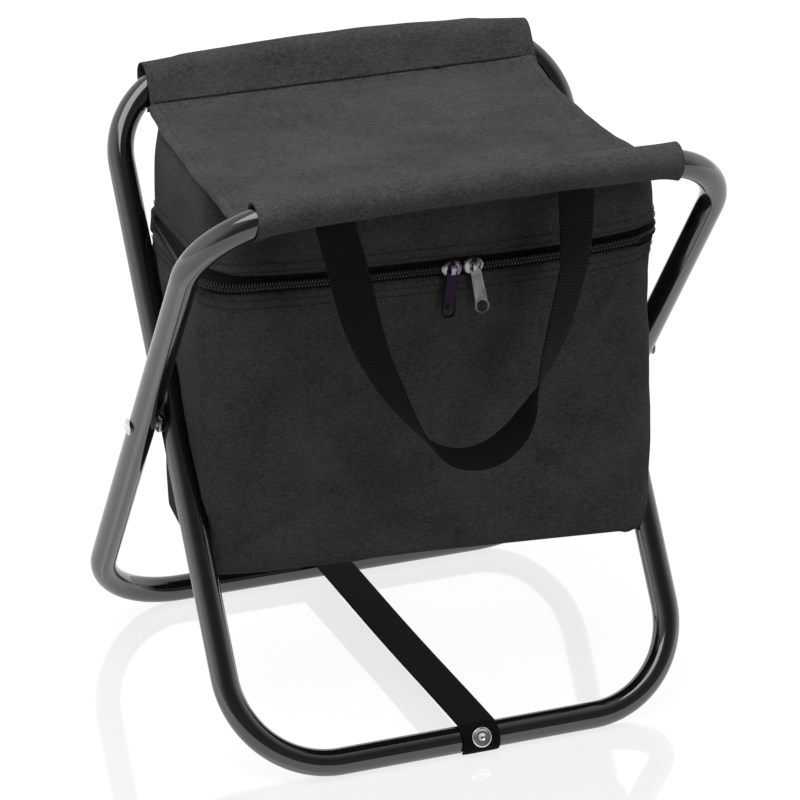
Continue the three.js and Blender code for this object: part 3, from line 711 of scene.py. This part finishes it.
def seat_stitch_and_crease_shadow_rows():
    """Stitch rows on the seat's top: a hem's width in from each side, and along the welts of the sleeves. In
    the creases between them runs thick dark thread in close, overlapping stitches: a painted shadow line."""
    up = (0.0, 0.0, 1.0)
    y = np.linspace(-seam_y + 0.002, seam_y - 0.002, 200)
    left, right = seat_edges(y)
    share_in = hem_row / (right - left)
    hems = [sewn(seat_points(share, y), up) for share in (share_in, 1 - share_in)]
    across = np.linspace(0.006, 0.994, 200)
    places = (welt_row - seam_y, seam_y - welt_row)
    welts = [sewn(seat_points(across, np.full(200, place)), up) for place in places]
    # Along each crease, thick dark thread in overlapping stitches makes one continuous dark line: painted
    # shadow for the crease's shade.
    x = np.linspace(-0.1135, 0.1225, 200)
    creases = []
    for side in (-1, 1):
        line = np.stack([x, np.full(200, side * (seam_y + 0.0009)), np.full(200, seat_z + 0.0021)], -1)
        creases.append(sewn(line, (0.0, -0.6 * side, 0.8), 0.0039, 0.0037, 0.0012))
    return hems + welts + creases


# The seat's stitches, together with the dark crease lines that are painted shadow.
seat_stitches_and_crease_shadows = piece("seat_hem_stitches", seat_stitch_and_crease_shadow_rows(), black_thread)
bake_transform(seat_stitches_and_crease_shadows)

# Cooler bag walls. Charcoal twill over foam, sewn to the seat's edges above. The collar hangs from the seat,
# the tub below it is held by the zip, and a strip of cloth joins them across the back.
bag_cloth = cloth("charcoal_twill", 0.075)
bag_half_x = 0.1325
bag_half_y = 0.0565
bag_top = seat_z - 0.0012
bag_floor = 0.0962
bag_skew = 0.083
line_half = 0.002
zip_half = 0.0047
runner_low, runner_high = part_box("left_zip_slider")
zip_mid = (runner_low.z + runner_high.z) / 2


def zip_height(x):
    """The zip's height: it hangs lower across the front's middle, and rises to the corners by the cube."""
    return zip_mid + np.where(x > 0, 0.0066, 0.0044) * np.clip(np.abs(x) / 0.13, 0, 1) ** 3


def clear_of_legs(points, insets):
    """Presses cloth in beside the inner loop's legs: its x stays within a limit that dips, as a bell curve,
    along the line that the legs follow."""
    leg = (points[..., 2] - pivot[2]) * np.tan(lean)
    limit = inner_half + 0.006 - 0.0158 * np.exp(-(((points[..., 1] - leg) / 0.013) ** 2)) - insets
    points[..., 0] = np.clip(points[..., 0], -limit, limit)
    return points


def bag_rings(heights, insets, share):
    """Rings of the bag's rounded plan at heights, set in by insets. The bag hangs askew, y losing bag_skew
    times x, its corners are sharper towards the floor, and its left back corner spreads at the top and is
    drawn in below."""
    rings = []
    for height, inset in zip(heights, insets):
        corner = np.interp(height, [0.1, 0.2, 0.27, 0.34], [0.008, 0.011, 0.021, 0.02])
        flat, _, _ = rounded(share, bag_half_x - inset, bag_half_y - inset, max(corner - inset, 0.0006))
        rings.append(flat)
    plan = np.stack(rings)
    high = np.clip((np.asarray(heights)[:, None] - 0.25) / 0.03, 0, 1)
    side = np.clip(plan[..., 0] / 0.1, -1, 1)
    x = plan[..., 0] * 1.012 + 0.0034 + high * np.where(side > 0, 0.0036, -0.003) * side
    y = plan[..., 1] - bag_skew * x + 0.0015
    z = np.broadcast_to(np.asarray(heights)[:, None], x.shape)
    to_left = np.clip(0.5 - x / 0.26, 0, 1)
    y = y + 0.006 * np.clip(y / 0.05, 0, 1) * to_left * np.clip((z - 0.2) / 0.07, 0, 1)
    y = y - 0.026 * np.clip(y / 0.05, 0, 1) * to_left * np.clip((0.2 - z) / 0.06, 0, 1)
    return clear_of_legs(np.stack([x, y, z], -1), np.asarray(insets)[:, None])


def tucked(points, insets):
    """Draws the bag's top in to the seat's hems, by the fourth power of the height above the zip."""
    zip_top, hem_in = 0.286, 0.0016
    near = np.clip((points[..., 2] - zip_top) / (bag_top - zip_top), 0, 1) ** 4
    left, right = seat_edges(points[..., 1])
    x = points[..., 0]
    points[..., 0] = x + near * (np.clip(x, left + hem_in + insets, right - hem_in - insets) - x)
    return points


def floor_set(points):
    """Sets the bag's floor askew: its left end is raised, more at the back, and its right end is lowered.
    Both fade out up the walls."""
    x, y, z = np.moveaxis(points, -1, 0)
    lift = np.clip((-x - 0.09) / 0.035, 0, 1) ** 2 * (0.002 + 0.2 * np.clip(y, 0, 0.06))
    points[..., 2] += (lift - 0.003 * np.clip(x / 0.12, 0, 1)) * np.clip((0.16 - z) / 0.06, 0, 1)
    return points


def level_out(run):
    """The level directions to the right of runs, at a quarter turn to them."""
    out = np.stack([run[..., 1], -run[..., 0], 0 * run[..., 0]], -1)
    return out / np.linalg.norm(out, axis=-1, keepdims=True)


def outwards(points):
    """Level outward directions of rings of points, from each point's neighbours round its ring."""
    return level_out(np.roll(points, -1, 1) - np.roll(points, 1, 1))


wall_share = np.linspace(0, 1, 340, endpoint=False)
wall_length = rounded(0, bag_half_x, bag_half_y, 0.012)[2]


def ring_weave(points):
    """The cloth's own coordinates on rings: length round the bag, and length down the wall."""
    round_it = np.append(wall_share, 1.0) * wall_length
    down = np.linalg.norm(np.diff(points, axis=0), axis=-1).mean(1)
    down = np.concatenate([[0], np.cumsum(down)])
    return np.stack(np.broadcast_arrays(round_it[None], down[:, None]), -1)


def hangs(made, body):
    """A bag piece rides its body, with a mesh of its own."""
    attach(made, body)
    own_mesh(made)


def collar():
    """The collar's rings from under the seat to its lower hem, which follows the zip and turns in at its
    edge. Its left back corner spreads at the top, and soft folds fade out at both edges."""
    share_down = np.linspace(0, 1, 34)
    rings = bag_rings(np.interp(share_down, [0, 1], [bag_top, 0.285]), 0 * share_down, wall_share)
    low = zip_height(rings[0, :, 0]) + zip_half
    rings[..., 2] = bag_top + (low - bag_top) * share_down[:, None]
    spread = 0.008 * (1 - share_down[:, None]) * np.clip(0.5 - rings[..., 0] / 0.26, 0, 1)
    rings[..., 1] += spread * np.clip(rings[..., 1] / 0.04, 0, 1)
    rings = tucked(rings, 0.0)
    out = outwards(rings)
    folds = 0.0011 * ripples(wall_share * wall_length, share_down[:, None] * 0.05, 21, 0.06)
    hem = 0.0007 / (1 + np.exp((1 - share_down - 0.13) / 0.012))
    lip = -0.0016 * np.exp(-(((1 - share_down) / 0.02) ** 2))
    swell = folds * np.sin(np.pi * share_down[:, None]) + (hem + lip)[:, None]
    rings += out * swell[..., None]
    wall = grid(rings[::-1], "columns", weave=ring_weave(rings)[::-1])
    made = piece("collar_cloth", [wall], bag_cloth)
    hangs(thicken(made, 0.0011), "bag")
    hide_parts("bag_collar")
    return made, rings, out


collar_cloth, collar_rings, collar_out = collar()


def tub():
    """The tub's rings from its upper hem down to the floor edge, round it, and in along the base to a line.
    Its walls swell by a belly, folds and creases, and its hem is thicker and turns in at its edge."""
    rows = 74
    down = np.linspace(0, 1, rows)
    edge = np.linspace(0, np.pi / 2, 8)[1:]
    inward = np.linspace(0, 1, 16)[1:] ** 1.2
    edge_r = 0.006
    wall_z = np.interp(down, [0, 1], [0.2703, bag_floor + edge_r])
    heights = np.concatenate([wall_z, bag_floor + edge_r * (1 - np.sin(edge)), bag_floor + 0 * inward])
    base_in = edge_r + (bag_half_y - line_half - edge_r) * inward
    insets = np.concatenate([0 * down, edge_r * (1 - np.cos(edge)), base_in])
    rings = bag_rings(heights, insets, wall_share)
    floor_edge = rings[-len(inward) - 1]
    rings[-len(inward):] = floor_edge + (rings[-1] - floor_edge) * inward[:, None, None]
    top = zip_height(rings[0, :, 0]) - zip_half
    rings[:rows, :, 2] += (top - wall_z[0]) * (1 - down[:, None])
    out = outwards(rings[:rows])
    length = wall_share * wall_length
    depth = down[:, None] * 0.17
    belly = 0.002 * np.sin(np.pi * down[:, None]) ** 0.8
    folds = 0.0013 * ripples(length, depth * 0.6, 31, 0.075) + 0.0005 * ripples(length, depth, 32, 0.028)
    x, y = rings[:rows, :, 0], rings[:rows, :, 1]
    front = np.clip(-y / 0.04, 0, 1)

    def crease(at_x, at_z, angle, long, wide, deep):
        """A soft crease on the front wall, long along its angle and with a ridge beside its valley."""
        dx = x - at_x
        dz = rings[:rows, :, 2] - at_z
        a = (dx * np.cos(angle) + dz * np.sin(angle)) / long
        b = (-dx * np.sin(angle) + dz * np.cos(angle)) / wide
        return deep * front * np.exp(-(a**2)) * np.sin(2.2 * b) * np.exp(-(b**2))

    places = [
        (-0.085, 0.135, 0.55, 0.03, 0.009, 0.0024), (0.075, 0.15, -0.7, 0.026, 0.008, 0.0018),
        (-0.02, 0.125, 0.2, 0.04, 0.01, 0.0015), (0.105, 0.235, 1.1, 0.03, 0.008, 0.0022),
        (0.118, 0.258, 0.9, 0.02, 0.005, 0.0014), (-0.1, 0.19, 1.3, 0.05, 0.012, 0.0016),
    ]
    creases = sum(crease(*place) for place in places)
    hem = 0.0008 / (1 + np.exp((down - 0.045) / 0.004)) - 0.0014 * np.exp(-((down / 0.007) ** 2))
    free = np.sin(np.pi * np.clip(down * 1.04, 0, 1))[:, None]
    swell = (belly + folds * free + creases) + hem[:, None]
    rings[:rows] = clear_of_legs(rings[:rows] + out * swell[..., None], 0.0)
    rings = floor_set(rings)
    weave = ring_weave(rings)
    made = piece("tub_cloth", [grid(rings[::-1], "columns", (0,), weave[::-1])], bag_cloth)
    return thicken(made, 0.0011), rings, out


tub_cloth, tub_rings, tub_out = tub()
hangs(tub_cloth, "tub")
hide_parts("tub_shell")

# Zip. Two woven tapes sewn behind the hems carry the coils, whose teeth meet in the middle. It runs from the
# left back corner round the front to the right back corner, and stands out in a soft lip at its left.
zip_tape_cloth = webbing("zip_tape_cloth", 0.007, 0.0009, 0.00008)
zip_share = np.linspace(0.18, 0.82, 420)


def zip_line():
    """The zip's middle line on the bag's plan, its outward directions, and how far it stands out along it:
    by the square towards the corners, and fading to the back."""
    line = bag_rings([0.28], [0.0], zip_share)[0]
    line[:, 2] = zip_height(line[:, 0])
    out = level_out(headings(line))
    corner = np.clip((np.abs(line[:, 0]) - 0.085) / 0.04, 0, 1) ** 2
    fade = np.clip((0.055 - line[:, 1]) / 0.06, 0, 1)
    return line, out, 0.0004 + np.where(line[:, 0] < 0, 0.0052, 0.0004) * corner * fade


zip_path, zip_out, zip_bulge = zip_line()
zip_up = np.array([0.0, 0.0, 1.0])


def zip_tape(name, sign, body, node):
    """A tape from behind its hem to the coil: it comes forward on a quarter sine as it nears the middle, and
    is ridged, by a squared sine, round the sides."""
    share = np.linspace(0, 1, 25)[:, None, None]
    rise = sign * ((zip_half + 0.004) * (1 - share) + 0.0002 * share)
    gusset = np.clip((np.abs(zip_path[:, :1]) - 0.112) / 0.014, 0, 1)
    ridges = 0.0013 * gusset * np.sin(2 * np.pi * share) ** 2
    forward = -0.0024 + (zip_bulge[:, None] + 0.0022) * np.sin(np.pi / 2 * share) + ridges
    points = zip_path + rise * zip_up + forward * zip_out
    far = np.linspace(0, 0.46, len(zip_share))
    weave = np.stack(np.broadcast_arrays(far[None], share[..., 0] * 0.01), -1)[..., ::-1]
    order = slice(None, None, -sign)
    tape = piece(name, [grid(points[order], weave=weave[order])], zip_tape_cloth)
    hangs(thicken(tape, 0.0007), body)
    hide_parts(node)


zip_tape("zip_tape_top", 1, "bag", "upper_zip_tape")
zip_tape("zip_tape_bottom", -1, "tub", "lower_zip_tape")


def nylon(name, tone):
    """Moulded black nylon: smooth, with a soft shine and a dusting of lint."""
    made, shader, place = finish_of(name, {"Specular IOR Level": 0.5})
    lint = place.noise(1300, 3, 0.7)
    lint.between(0.5, 0.8).mix(grey(tone), grey(tone * 3)).feed(shader, "Base Color")
    (lint * 0.25 + 0.28).feed(shader, "Roughness")
    return made


zip_nylon = nylon("zip_nylon", 0.012)


def zip_teeth(name, sign, shift, body, node):
    """Teeth across the zip on one side of its middle, leaning a little, each an arched six-sided bar. Round
    the sides they sink behind the ridged tapes."""
    pitch = 0.0018
    sunk = 0.0016 * np.clip((np.abs(zip_path[:, 0]) - 0.118) / 0.012, 0, 1)
    path = zip_path + zip_out * (zip_bulge + 0.0006 - sunk)[:, None] + sign * 0.00105 * zip_up
    places, run, out = spaced(path, zip_out, pitch)
    places = places + run * shift * pitch
    up = sign * zip_up + 0.32 * run
    up /= np.linalg.norm(up, axis=1, keepdims=True)
    side = np.cross(out, up)
    teeth = strew(stitch(0.0029, 0.0011), places, np.stack([up, side, np.cross(up, side)], 1))
    made = piece(name, [teeth], zip_nylon)
    hangs(made, body)
    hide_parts(node)


zip_teeth("zip_teeth_top", 1, 0.25, "bag", "upper_zip_coil")
zip_teeth("zip_teeth_bottom", -1, -0.25, "tub", "lower_zip_coil")


grey_thread = thread("grey_thread", 0.045)


def hem_stitches_of(name, rings, out, rows, body):
    """Two stitch rows along the hem that holds a tape, on the front and sides."""
    shown = slice(64, 276)
    lines = [sewn(rings[row, shown] + out[row, shown] * 0.0002, out[row, shown]) for row in rows]
    made = piece(name, lines, grey_thread)
    hangs(made, body)
    return made


collar_hem_stitches = hem_stitches_of("collar_hem_stitches", collar_rings, collar_out, (-3, -6), "bag")
tub_hem_stitches = hem_stitches_of("tub_hem_stitches", tub_rings, tub_out, (2, 4), "tub")


def back_strip():
    """A strip of the bag's cloth across the back, between the zip's two ends, with a facing inside the tub
    that covers the gap when the tub is let down. Each follows the bag's plan, a little inside it."""
    share = np.linspace(-0.19, 0.19, 120)
    layers = []
    for above, below, inset, rows in ((0.009, 0.004, 0.0014, 12), (0.002, 0.024, 0.0024, 16)):
        heights = np.linspace(zip_mid + zip_half + above, zip_mid - zip_half - below, rows)
        points = bag_rings(heights, 0 * heights + inset, share % 1.0)
        weave = np.stack(np.broadcast_arrays(share[None] * wall_length, heights[:, None]), -1)
        layers.append(grid(points[::-1], weave=weave[::-1]))
    made = piece("back_strip_cloth", layers, bag_cloth)
    hangs(thicken(made, 0.0009), "bag")
    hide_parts("bag_back_strip")


back_strip()


def zip_end(name, start, end):
    """A patch of cloth sewn over one end of the zip: a rounded pillow on the bag's wall, over its share of
    the way round, that falls away to its edges by the eighth power."""
    across, up = np.meshgrid(np.linspace(-1, 1, 22), np.linspace(1, -1, 18))
    half_high = 0.0085
    points = bag_rings(zip_mid + half_high * up[:, 0], 0 * up[:, 0], np.linspace(start, end, 22))
    points[..., 2] += zip_height(points[..., 0]) - zip_mid
    out = level_out(np.gradient(points, axis=1))
    points += out * (0.0034 - 0.0042 * np.maximum(np.abs(across), np.abs(up)) ** 8)[..., None]
    weave = np.stack([0.008 * across, half_high * up], -1)
    made = piece(name, [grid(points[::-1], weave=weave[::-1])], bag_cloth)
    hangs(thicken(made, 0.0009), "bag")


zip_end("left_zip_end", 0.168, 0.192)
zip_end("right_zip_end", 0.808, 0.832)

# Linings. Soft foam faced with crinkled silver foil lines the tub and the underside of the lid, with cloth
# behind it, and is sewn in round their hems.


def foil(name):
    """Silver foil on cloth: bright, creased in flat facets, and duller where it is handled."""
    made, shader, place = finish_of(name, {"Metallic": 0.9})
    facets = place.node("ShaderNodeTexVoronoi", {"feature": "F1"}, {"Vector": place, "Scale": 120.0})
    creases = place.noise(70, 4, 0.65)
    handled = place.noise(18, 3, 0.6).between(0.45, 0.7)
    handled.mix(grey(0.78), grey(0.6)).feed(shader, "Base Color")
    (handled * 0.14 + 0.24).feed(shader, "Roughness")
    (facets * 0.6 + creases).bump(0.0012, 0.7).feed(shader, "Normal")
    return made


silver_foil = foil("silver_foil")


def lining(name, rim, end, edge_r, body, nodes):
    """Foam with foil inside and cloth behind: rings of the bag's plan from a rim to the closed end, round
    its edge and in to a line, with soft ripples."""
    sign = np.sign(end - rim)
    down = np.linspace(0, 1, 40)
    edge = np.linspace(0, np.pi / 2, 8)[1:]
    inward = np.linspace(0, 1, 18)[1:]
    face = 0.0066
    bend_z = end - sign * edge_r
    wall_z = rim + (bend_z - rim) * down
    heights = np.concatenate([wall_z, bend_z + sign * edge_r * np.sin(edge), end + 0 * inward])
    base_in = edge_r + (bag_half_y - face - line_half - edge_r) * inward
    insets = np.concatenate([0 * down, edge_r * (1 - np.cos(edge)), base_in])
    rings = floor_set(tucked(bag_rings(heights, insets + face, wall_share), insets[:, None] + face))
    ripple = 0.0009
    row_z = np.arange(len(heights))[:, None] * 0.004
    soft = ripple * ripples(wall_share * wall_length, row_z, 41, 0.05)
    rows = len(down)
    rings[:rows] -= outwards(rings[:rows]) * (soft[:rows] + ripple)[..., None]
    inside = np.clip(insets[rows:] / 0.02, 0, 1)[:, None]
    rings[rows:, :, 2] -= sign * (np.abs(soft[rows:]) * inside)
    order = slice(None, None, -1 if sign > 0 else 1)
    cap = (0,) if sign > 0 else (-1,)
    made = piece(name, [grid(rings[order], "columns", cap, ring_weave(rings)[order])], silver_foil)
    made.data.materials.append(bag_cloth)
    thicken(made, 0.0038).modifiers["thickness"].material_offset = 1
    hangs(made, body)
    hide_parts(*nodes)


lining("lid_lining", zip_mid + zip_half + 0.004, bag_top - 0.011, 0.012, "bag", ("lid_foam", "lid_liner"))
lining("tub_lining", zip_mid - zip_half - 0.004, bag_floor + 0.0095, 0.012, "tub", ("tub_foam", "tub_liner"))

# Zip runners. Two pressed metal runners stand side by side on the zip's front. Each has a domed crown with
# an arched bridge, and a pull tab with a round eye at its tip hangs from the bridge.
dark_zip_metal = steel("dark_zip_metal", 0.02, 0.28, (1.15, 0.75, 1.4))
smoked_zip_metal = steel("smoked_zip_metal", 0.42, 0.26, (1.05, 0.92, 1.2))
bright_zip_metal = steel("bright_zip_metal", 0.44, 0.28)
brushed_zip_metal = steel("brushed_zip_metal", 0.29, 0.34)


def on_zip(points, neck):
    """Points made with x along the zip, -y away from it and z up, turned about z to the bag's askew front,
    at a neck."""
    turn = -np.arctan(bag_skew)
    x = points[..., 0] * np.cos(turn) - points[..., 1] * np.sin(turn)
    y = points[..., 0] * np.sin(turn) + points[..., 1] * np.cos(turn)
    return np.asarray(neck) + np.stack([x, y, points[..., 2]], -1)


def runner(name, neck, mouth, metal):
    """A crown and a back plate with one outline, a shield whose wide end points along mouth, and the
    bridge that arches over the pull's ring. Both plates go from their rim to the middle in steps of a
    profile."""
    turn = np.linspace(0, 2 * np.pi, 40, endpoint=False)
    tall = 0.0054 + 0.0007 * mouth * np.cos(turn)
    outline = np.stack([0.0062 * np.cos(turn), tall * np.sin(turn)], -1)
    crown = [(0.9, 0.0036), (0.98, 0.0032), (1.0, 0.0026), (0.95, 0.0018)]
    crown += [(0.8, 0.0013), (0.5, 0.001), (0.06, 0.0009)]
    plate = [(0.06, 0.0092), (0.9, 0.0092), (1.0, 0.0086), (0.9, 0.0081), (0.06, 0.0081)]
    bodies = []
    for profile in (np.array(crown), np.array(plate)):
        flat = profile[:, 0, None, None] * outline
        deep = np.broadcast_to(profile[:, 1, None], flat.shape[:2])
        points = np.stack([flat[..., 0], deep, flat[..., 1] - 0.0013], -1)
        bodies.append(grid(on_zip(points, neck), "columns", (0, -1)))
    share = np.linspace(0, np.pi, 18)
    arch = np.stack([0 * share, 0.0012 - 0.0034 * np.sin(share) ** 0.6, 0.0036 * np.cos(share) - 0.0006], -1)
    across = np.broadcast_to((1.0, 0.0, 0.0), arch.shape)
    bridge = carry(ring(12, 0.0015, 0.0005), arch, headings(arch), across)
    bodies.append(grid(on_zip(bridge, neck), "columns", (0, -1)))
    made = piece(name + "_runner", bodies, metal)
    hangs(made, name + "_slider")
    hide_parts(name + "_zip_slider")


def tab(name, neck, lean_out, metal):
    """A pull tab: a plate between its outline and its round eye, with a raised rim, and a ring at its neck.
    It hangs leaning by lean_out in its own plane. The outline is a half circle below and a tapered strip
    above."""
    turn = 2 * np.pi * np.linspace(0, 1, 72, endpoint=False) - np.pi / 2
    eye_z, tip_r, eye_r, long = -0.0264, 0.0043, 0.0033, 0.0248
    out = np.stack([np.cos(turn), np.sin(turn)], -1)
    upper = np.clip(out[:, 1], 0, 1)
    half_w = tip_r - 0.0013 * upper**0.4
    wide = half_w * np.where(upper > 0, np.clip(out[:, 0] * 1.6, -1, 1), out[:, 0])
    tall = np.where(upper > 0, long * np.clip(upper * 1.25, 0, 1), tip_r * out[:, 1])
    outline = np.stack([wide, tall], -1)
    steps = np.array([
        (0.0, 0.0004), (0.08, 0.0008), (0.24, 0.0008), (0.3, 0.0005), (0.74, 0.0005), (0.8, 0.0008),
        (0.94, 0.0008), (1.0, 0.0004), (1.0, -0.0004), (0.94, -0.0007), (0.08, -0.0007), (0.0, -0.0004),
    ])
    flat = eye_r * out[:, None] + (outline - eye_r * out)[:, None] * steps[:, :1] + np.array([0.0, eye_z])
    flat = np.stack([
        flat[..., 0] * np.cos(lean_out) - flat[..., 1] * np.sin(lean_out),
        flat[..., 0] * np.sin(lean_out) + flat[..., 1] * np.cos(lean_out),
    ], -1)
    away = np.broadcast_to(steps[:, 1], flat.shape[:2])
    plate = on_zip(np.stack([flat[..., 0], 0.0002 - away, flat[..., 1]], -1), neck)
    loop = ring(24, 0.0024, 0.0019)
    loop = np.stack([loop[:, 0], 0.0001 + 0 * loop[:, 0], loop[:, 1] + 0.0001], -1)
    across = np.broadcast_to((0.0, 1.0, 0.0), loop.shape)
    eyelet = on_zip(carry(ring(10, 0.0006, 0.0006), loop, headings(loop, True), across), neck)
    made = piece(name + "_tab", [grid(plate, "rows columns"), grid(eyelet, "rows columns")], metal)
    hangs(made, name + "_pull")
    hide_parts(name + "_zip_pull")


left_neck = np.array(joints["left_pull_swing"]["pos_m"]) + (-0.0019, 0.0002, 0.0006)
right_neck = np.array(joints["right_pull_swing"]["pos_m"]) + (-0.003, 0.0003, 0.0012)
runner("left", left_neck, 1, smoked_zip_metal)
runner("right", right_neck, -1, bright_zip_metal)
tab("left", left_neck, np.radians(-5.5), dark_zip_metal)
tab("right", right_neck, np.radians(10), brushed_zip_metal)

# Handles. A loop of ribbed black webbing hangs from the seam under each bar sleeve, with both ends sewn into
# it. It kicks out from the bag towards the bottom, where it turns over.
grip_webbing = webbing("grip_webbing", 0.011, 0.002, 0.0004)


def softened(path, rounds):
    """Cuts the corners of a row of points again and again, a quarter of the way along each side."""
    for _ in range(rounds):
        near = path[:-1] * 0.75 + path[1:] * 0.25
        far = path[:-1] * 0.25 + path[1:] * 0.75
        path = np.concatenate([path[:1], np.stack([near, far], 1).reshape(-1, path.shape[1]), path[-1:]])
    return path


def grip(name, side, node, body):
    """The webbing's route in its hanging plane, in millimetres, and its turn about its own run, in degrees.
    Its arms hang flat, and it turns its outer edge to the bag and lies like a shelf along the bottom. It
    leans out from the bag from the tops of its arms down, evenly with depth."""
    route = [(-74, 337, 0), (-71, 324, 0), (-66.5, 308, 6), (-62, 288, 18), (-57, 268, 34), (-50, 248, 49)]
    route += [(-40, 227, 60), (-31, 210, 75), (-20, 194, 88), (-8, 182, 98), (7, 177, 100), (22, 179, 102)]
    route += [(36, 189, 100), (44.5, 203, 84), (49.5, 216, 60), (55.5, 233, 40), (62, 254, 28)]
    route += [(67, 275, 24), (70.5, 290, 22), (71, 305, 14), (71, 320, 8), (70.5, 337, 6)]
    flat = softened(np.array(route) * (0.001, 0.001, np.pi / 180), 4)
    path = np.stack([-side * flat[:, 0], np.full(len(flat), side * (seam_y + 0.0004)), flat[:, 1]], -1)
    kick = 0.016 * np.clip((0.315 - flat[:, 1:2]) / 0.13, 0, 1)
    kick_way = (0.3196 * side, 0.8521 * side, 0.4144)
    path += kick * kick_way
    level = np.array([0.0, side, 0.0])
    out = np.cross(headings(path), level)
    across = out * np.cos(flat[:, 2:]) - level * np.sin(flat[:, 2:])
    made = piece(name, [ribbon(path, across, 0.0228)], grip_webbing)
    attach(made, body)
    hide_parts(node)


grip("front_grip", -1, "front_handle", "front_handle")
grip("rear_grip", 1, "rear_handle", "rear_handle")

# Studio: a pale floor and soft light from the upper left, with white all round for the metal to reflect.
# The camera stands where the photograph was taken, well back and looking a little down.


def studio_world():
    """White to the camera and in reflections, dim in reflections of the dark room behind the camera, and a
    weak even light on everything else."""
    world = bpy.data.worlds.new("studio")
    world.use_nodes = True
    tree = world.node_tree
    shade = tree.nodes["Background"]
    rays = Socket(tree, tree.nodes.new("ShaderNodeLightPath").outputs["Is Camera Ray"])
    way = Socket(tree, tree.nodes.new("ShaderNodeTexCoord").outputs["Generated"])
    parts = way.node("ShaderNodeSeparateXYZ", {}, {0: way})
    overhead = parts.output("Z").between(0.3, 0.9) * 0.4
    back = (parts.output("Y").between(-0.75, 0.05) * 0.86 + 0.14) * (1 - overhead)
    mirrored = rays.output("Is Glossy Ray").math("MAXIMUM", rays.output("Is Transmission Ray"))
    lit = rays.math("MAXIMUM", mirrored)
    (rays + (1 - rays) * mirrored * back + (1 - lit) * 0.3).feed(shade, "Strength")
    shade.inputs["Color"].default_value = (1, 1, 1, 1)
    bpy.context.scene.world = world


studio_world()


def floor_board():
    """Pale gloss board: near white to the camera and in reflections, with a soft shadow and a faint mirror
    image."""
    made, shader, place = finish_of("floor_board", {"Roughness": 0.06, "IOR": 1.95})
    place.noise(900, 2).mix(grey(0.22), grey(0.24)).feed(shader, "Base Color")
    rays = place.node("ShaderNodeLightPath")
    seen = rays.math("MAXIMUM", rays.output("Is Glossy Ray"))
    seen.mix((0, 0, 0, 1), (0.775, 0.775, 0.775, 1)).feed(shader, "Emission Color")
    shader.inputs["Emission Strength"].default_value = 1.0
    return made


def floor():
    """A flat sheet, large enough to fill every view."""
    side = np.linspace(-6, 6, 5)
    x, y = np.meshgrid(side, side)
    points = np.stack([x, y, 0 * x - 0.0002], -1)
    made = piece("studio_floor", [grid(points)], floor_board())


floor()


def lamp(name, place, target, size, power, mirrored):
    """A square soft lamp that faces a point, seen in the tube's and floor's shine if mirrored."""
    light = bpy.data.lights.new(name, "AREA")
    light.size = size
    light.energy = power
    made = bpy.data.objects.new(name, light)
    bpy.context.collection.objects.link(made)
    made.location = place
    made.visible_glossy = mirrored
    away = np.array(place) - np.array(target)
    tip = np.arctan2(np.hypot(away[0], away[1]), away[2])
    made.rotation_euler = (tip, 0, np.arctan2(away[1], away[0]) + np.pi / 2)


lamp("key_light", (-0.5, -0.25, 2.2), (0, 0, 0.25), 1.6, 22, True)
lamp("fill_light", (0.8, -2.3, 1.4), (0, 0, 0.2), 0.7, 6.5, False)

view = bpy.data.objects.new("camera", bpy.data.cameras.new("camera"))
view.data.lens = 189.1
view.data.sensor_width = 36
view.data.clip_end = 50
azimuth, elevation, distance = np.radians(20.56), np.radians(24.48), 2.489
aim = np.array([0.0029, 0.0, 0.1723])
from_aim = [-np.sin(azimuth) * np.cos(elevation), -np.cos(azimuth) * np.cos(elevation), np.sin(elevation)]
view.location = aim + distance * np.array(from_aim)
view.rotation_euler = (np.pi / 2 - elevation, 0, -azimuth)
bpy.context.collection.objects.link(view)
bpy.context.scene.camera = view
bpy.context.scene.view_settings.view_transform = "Standard"
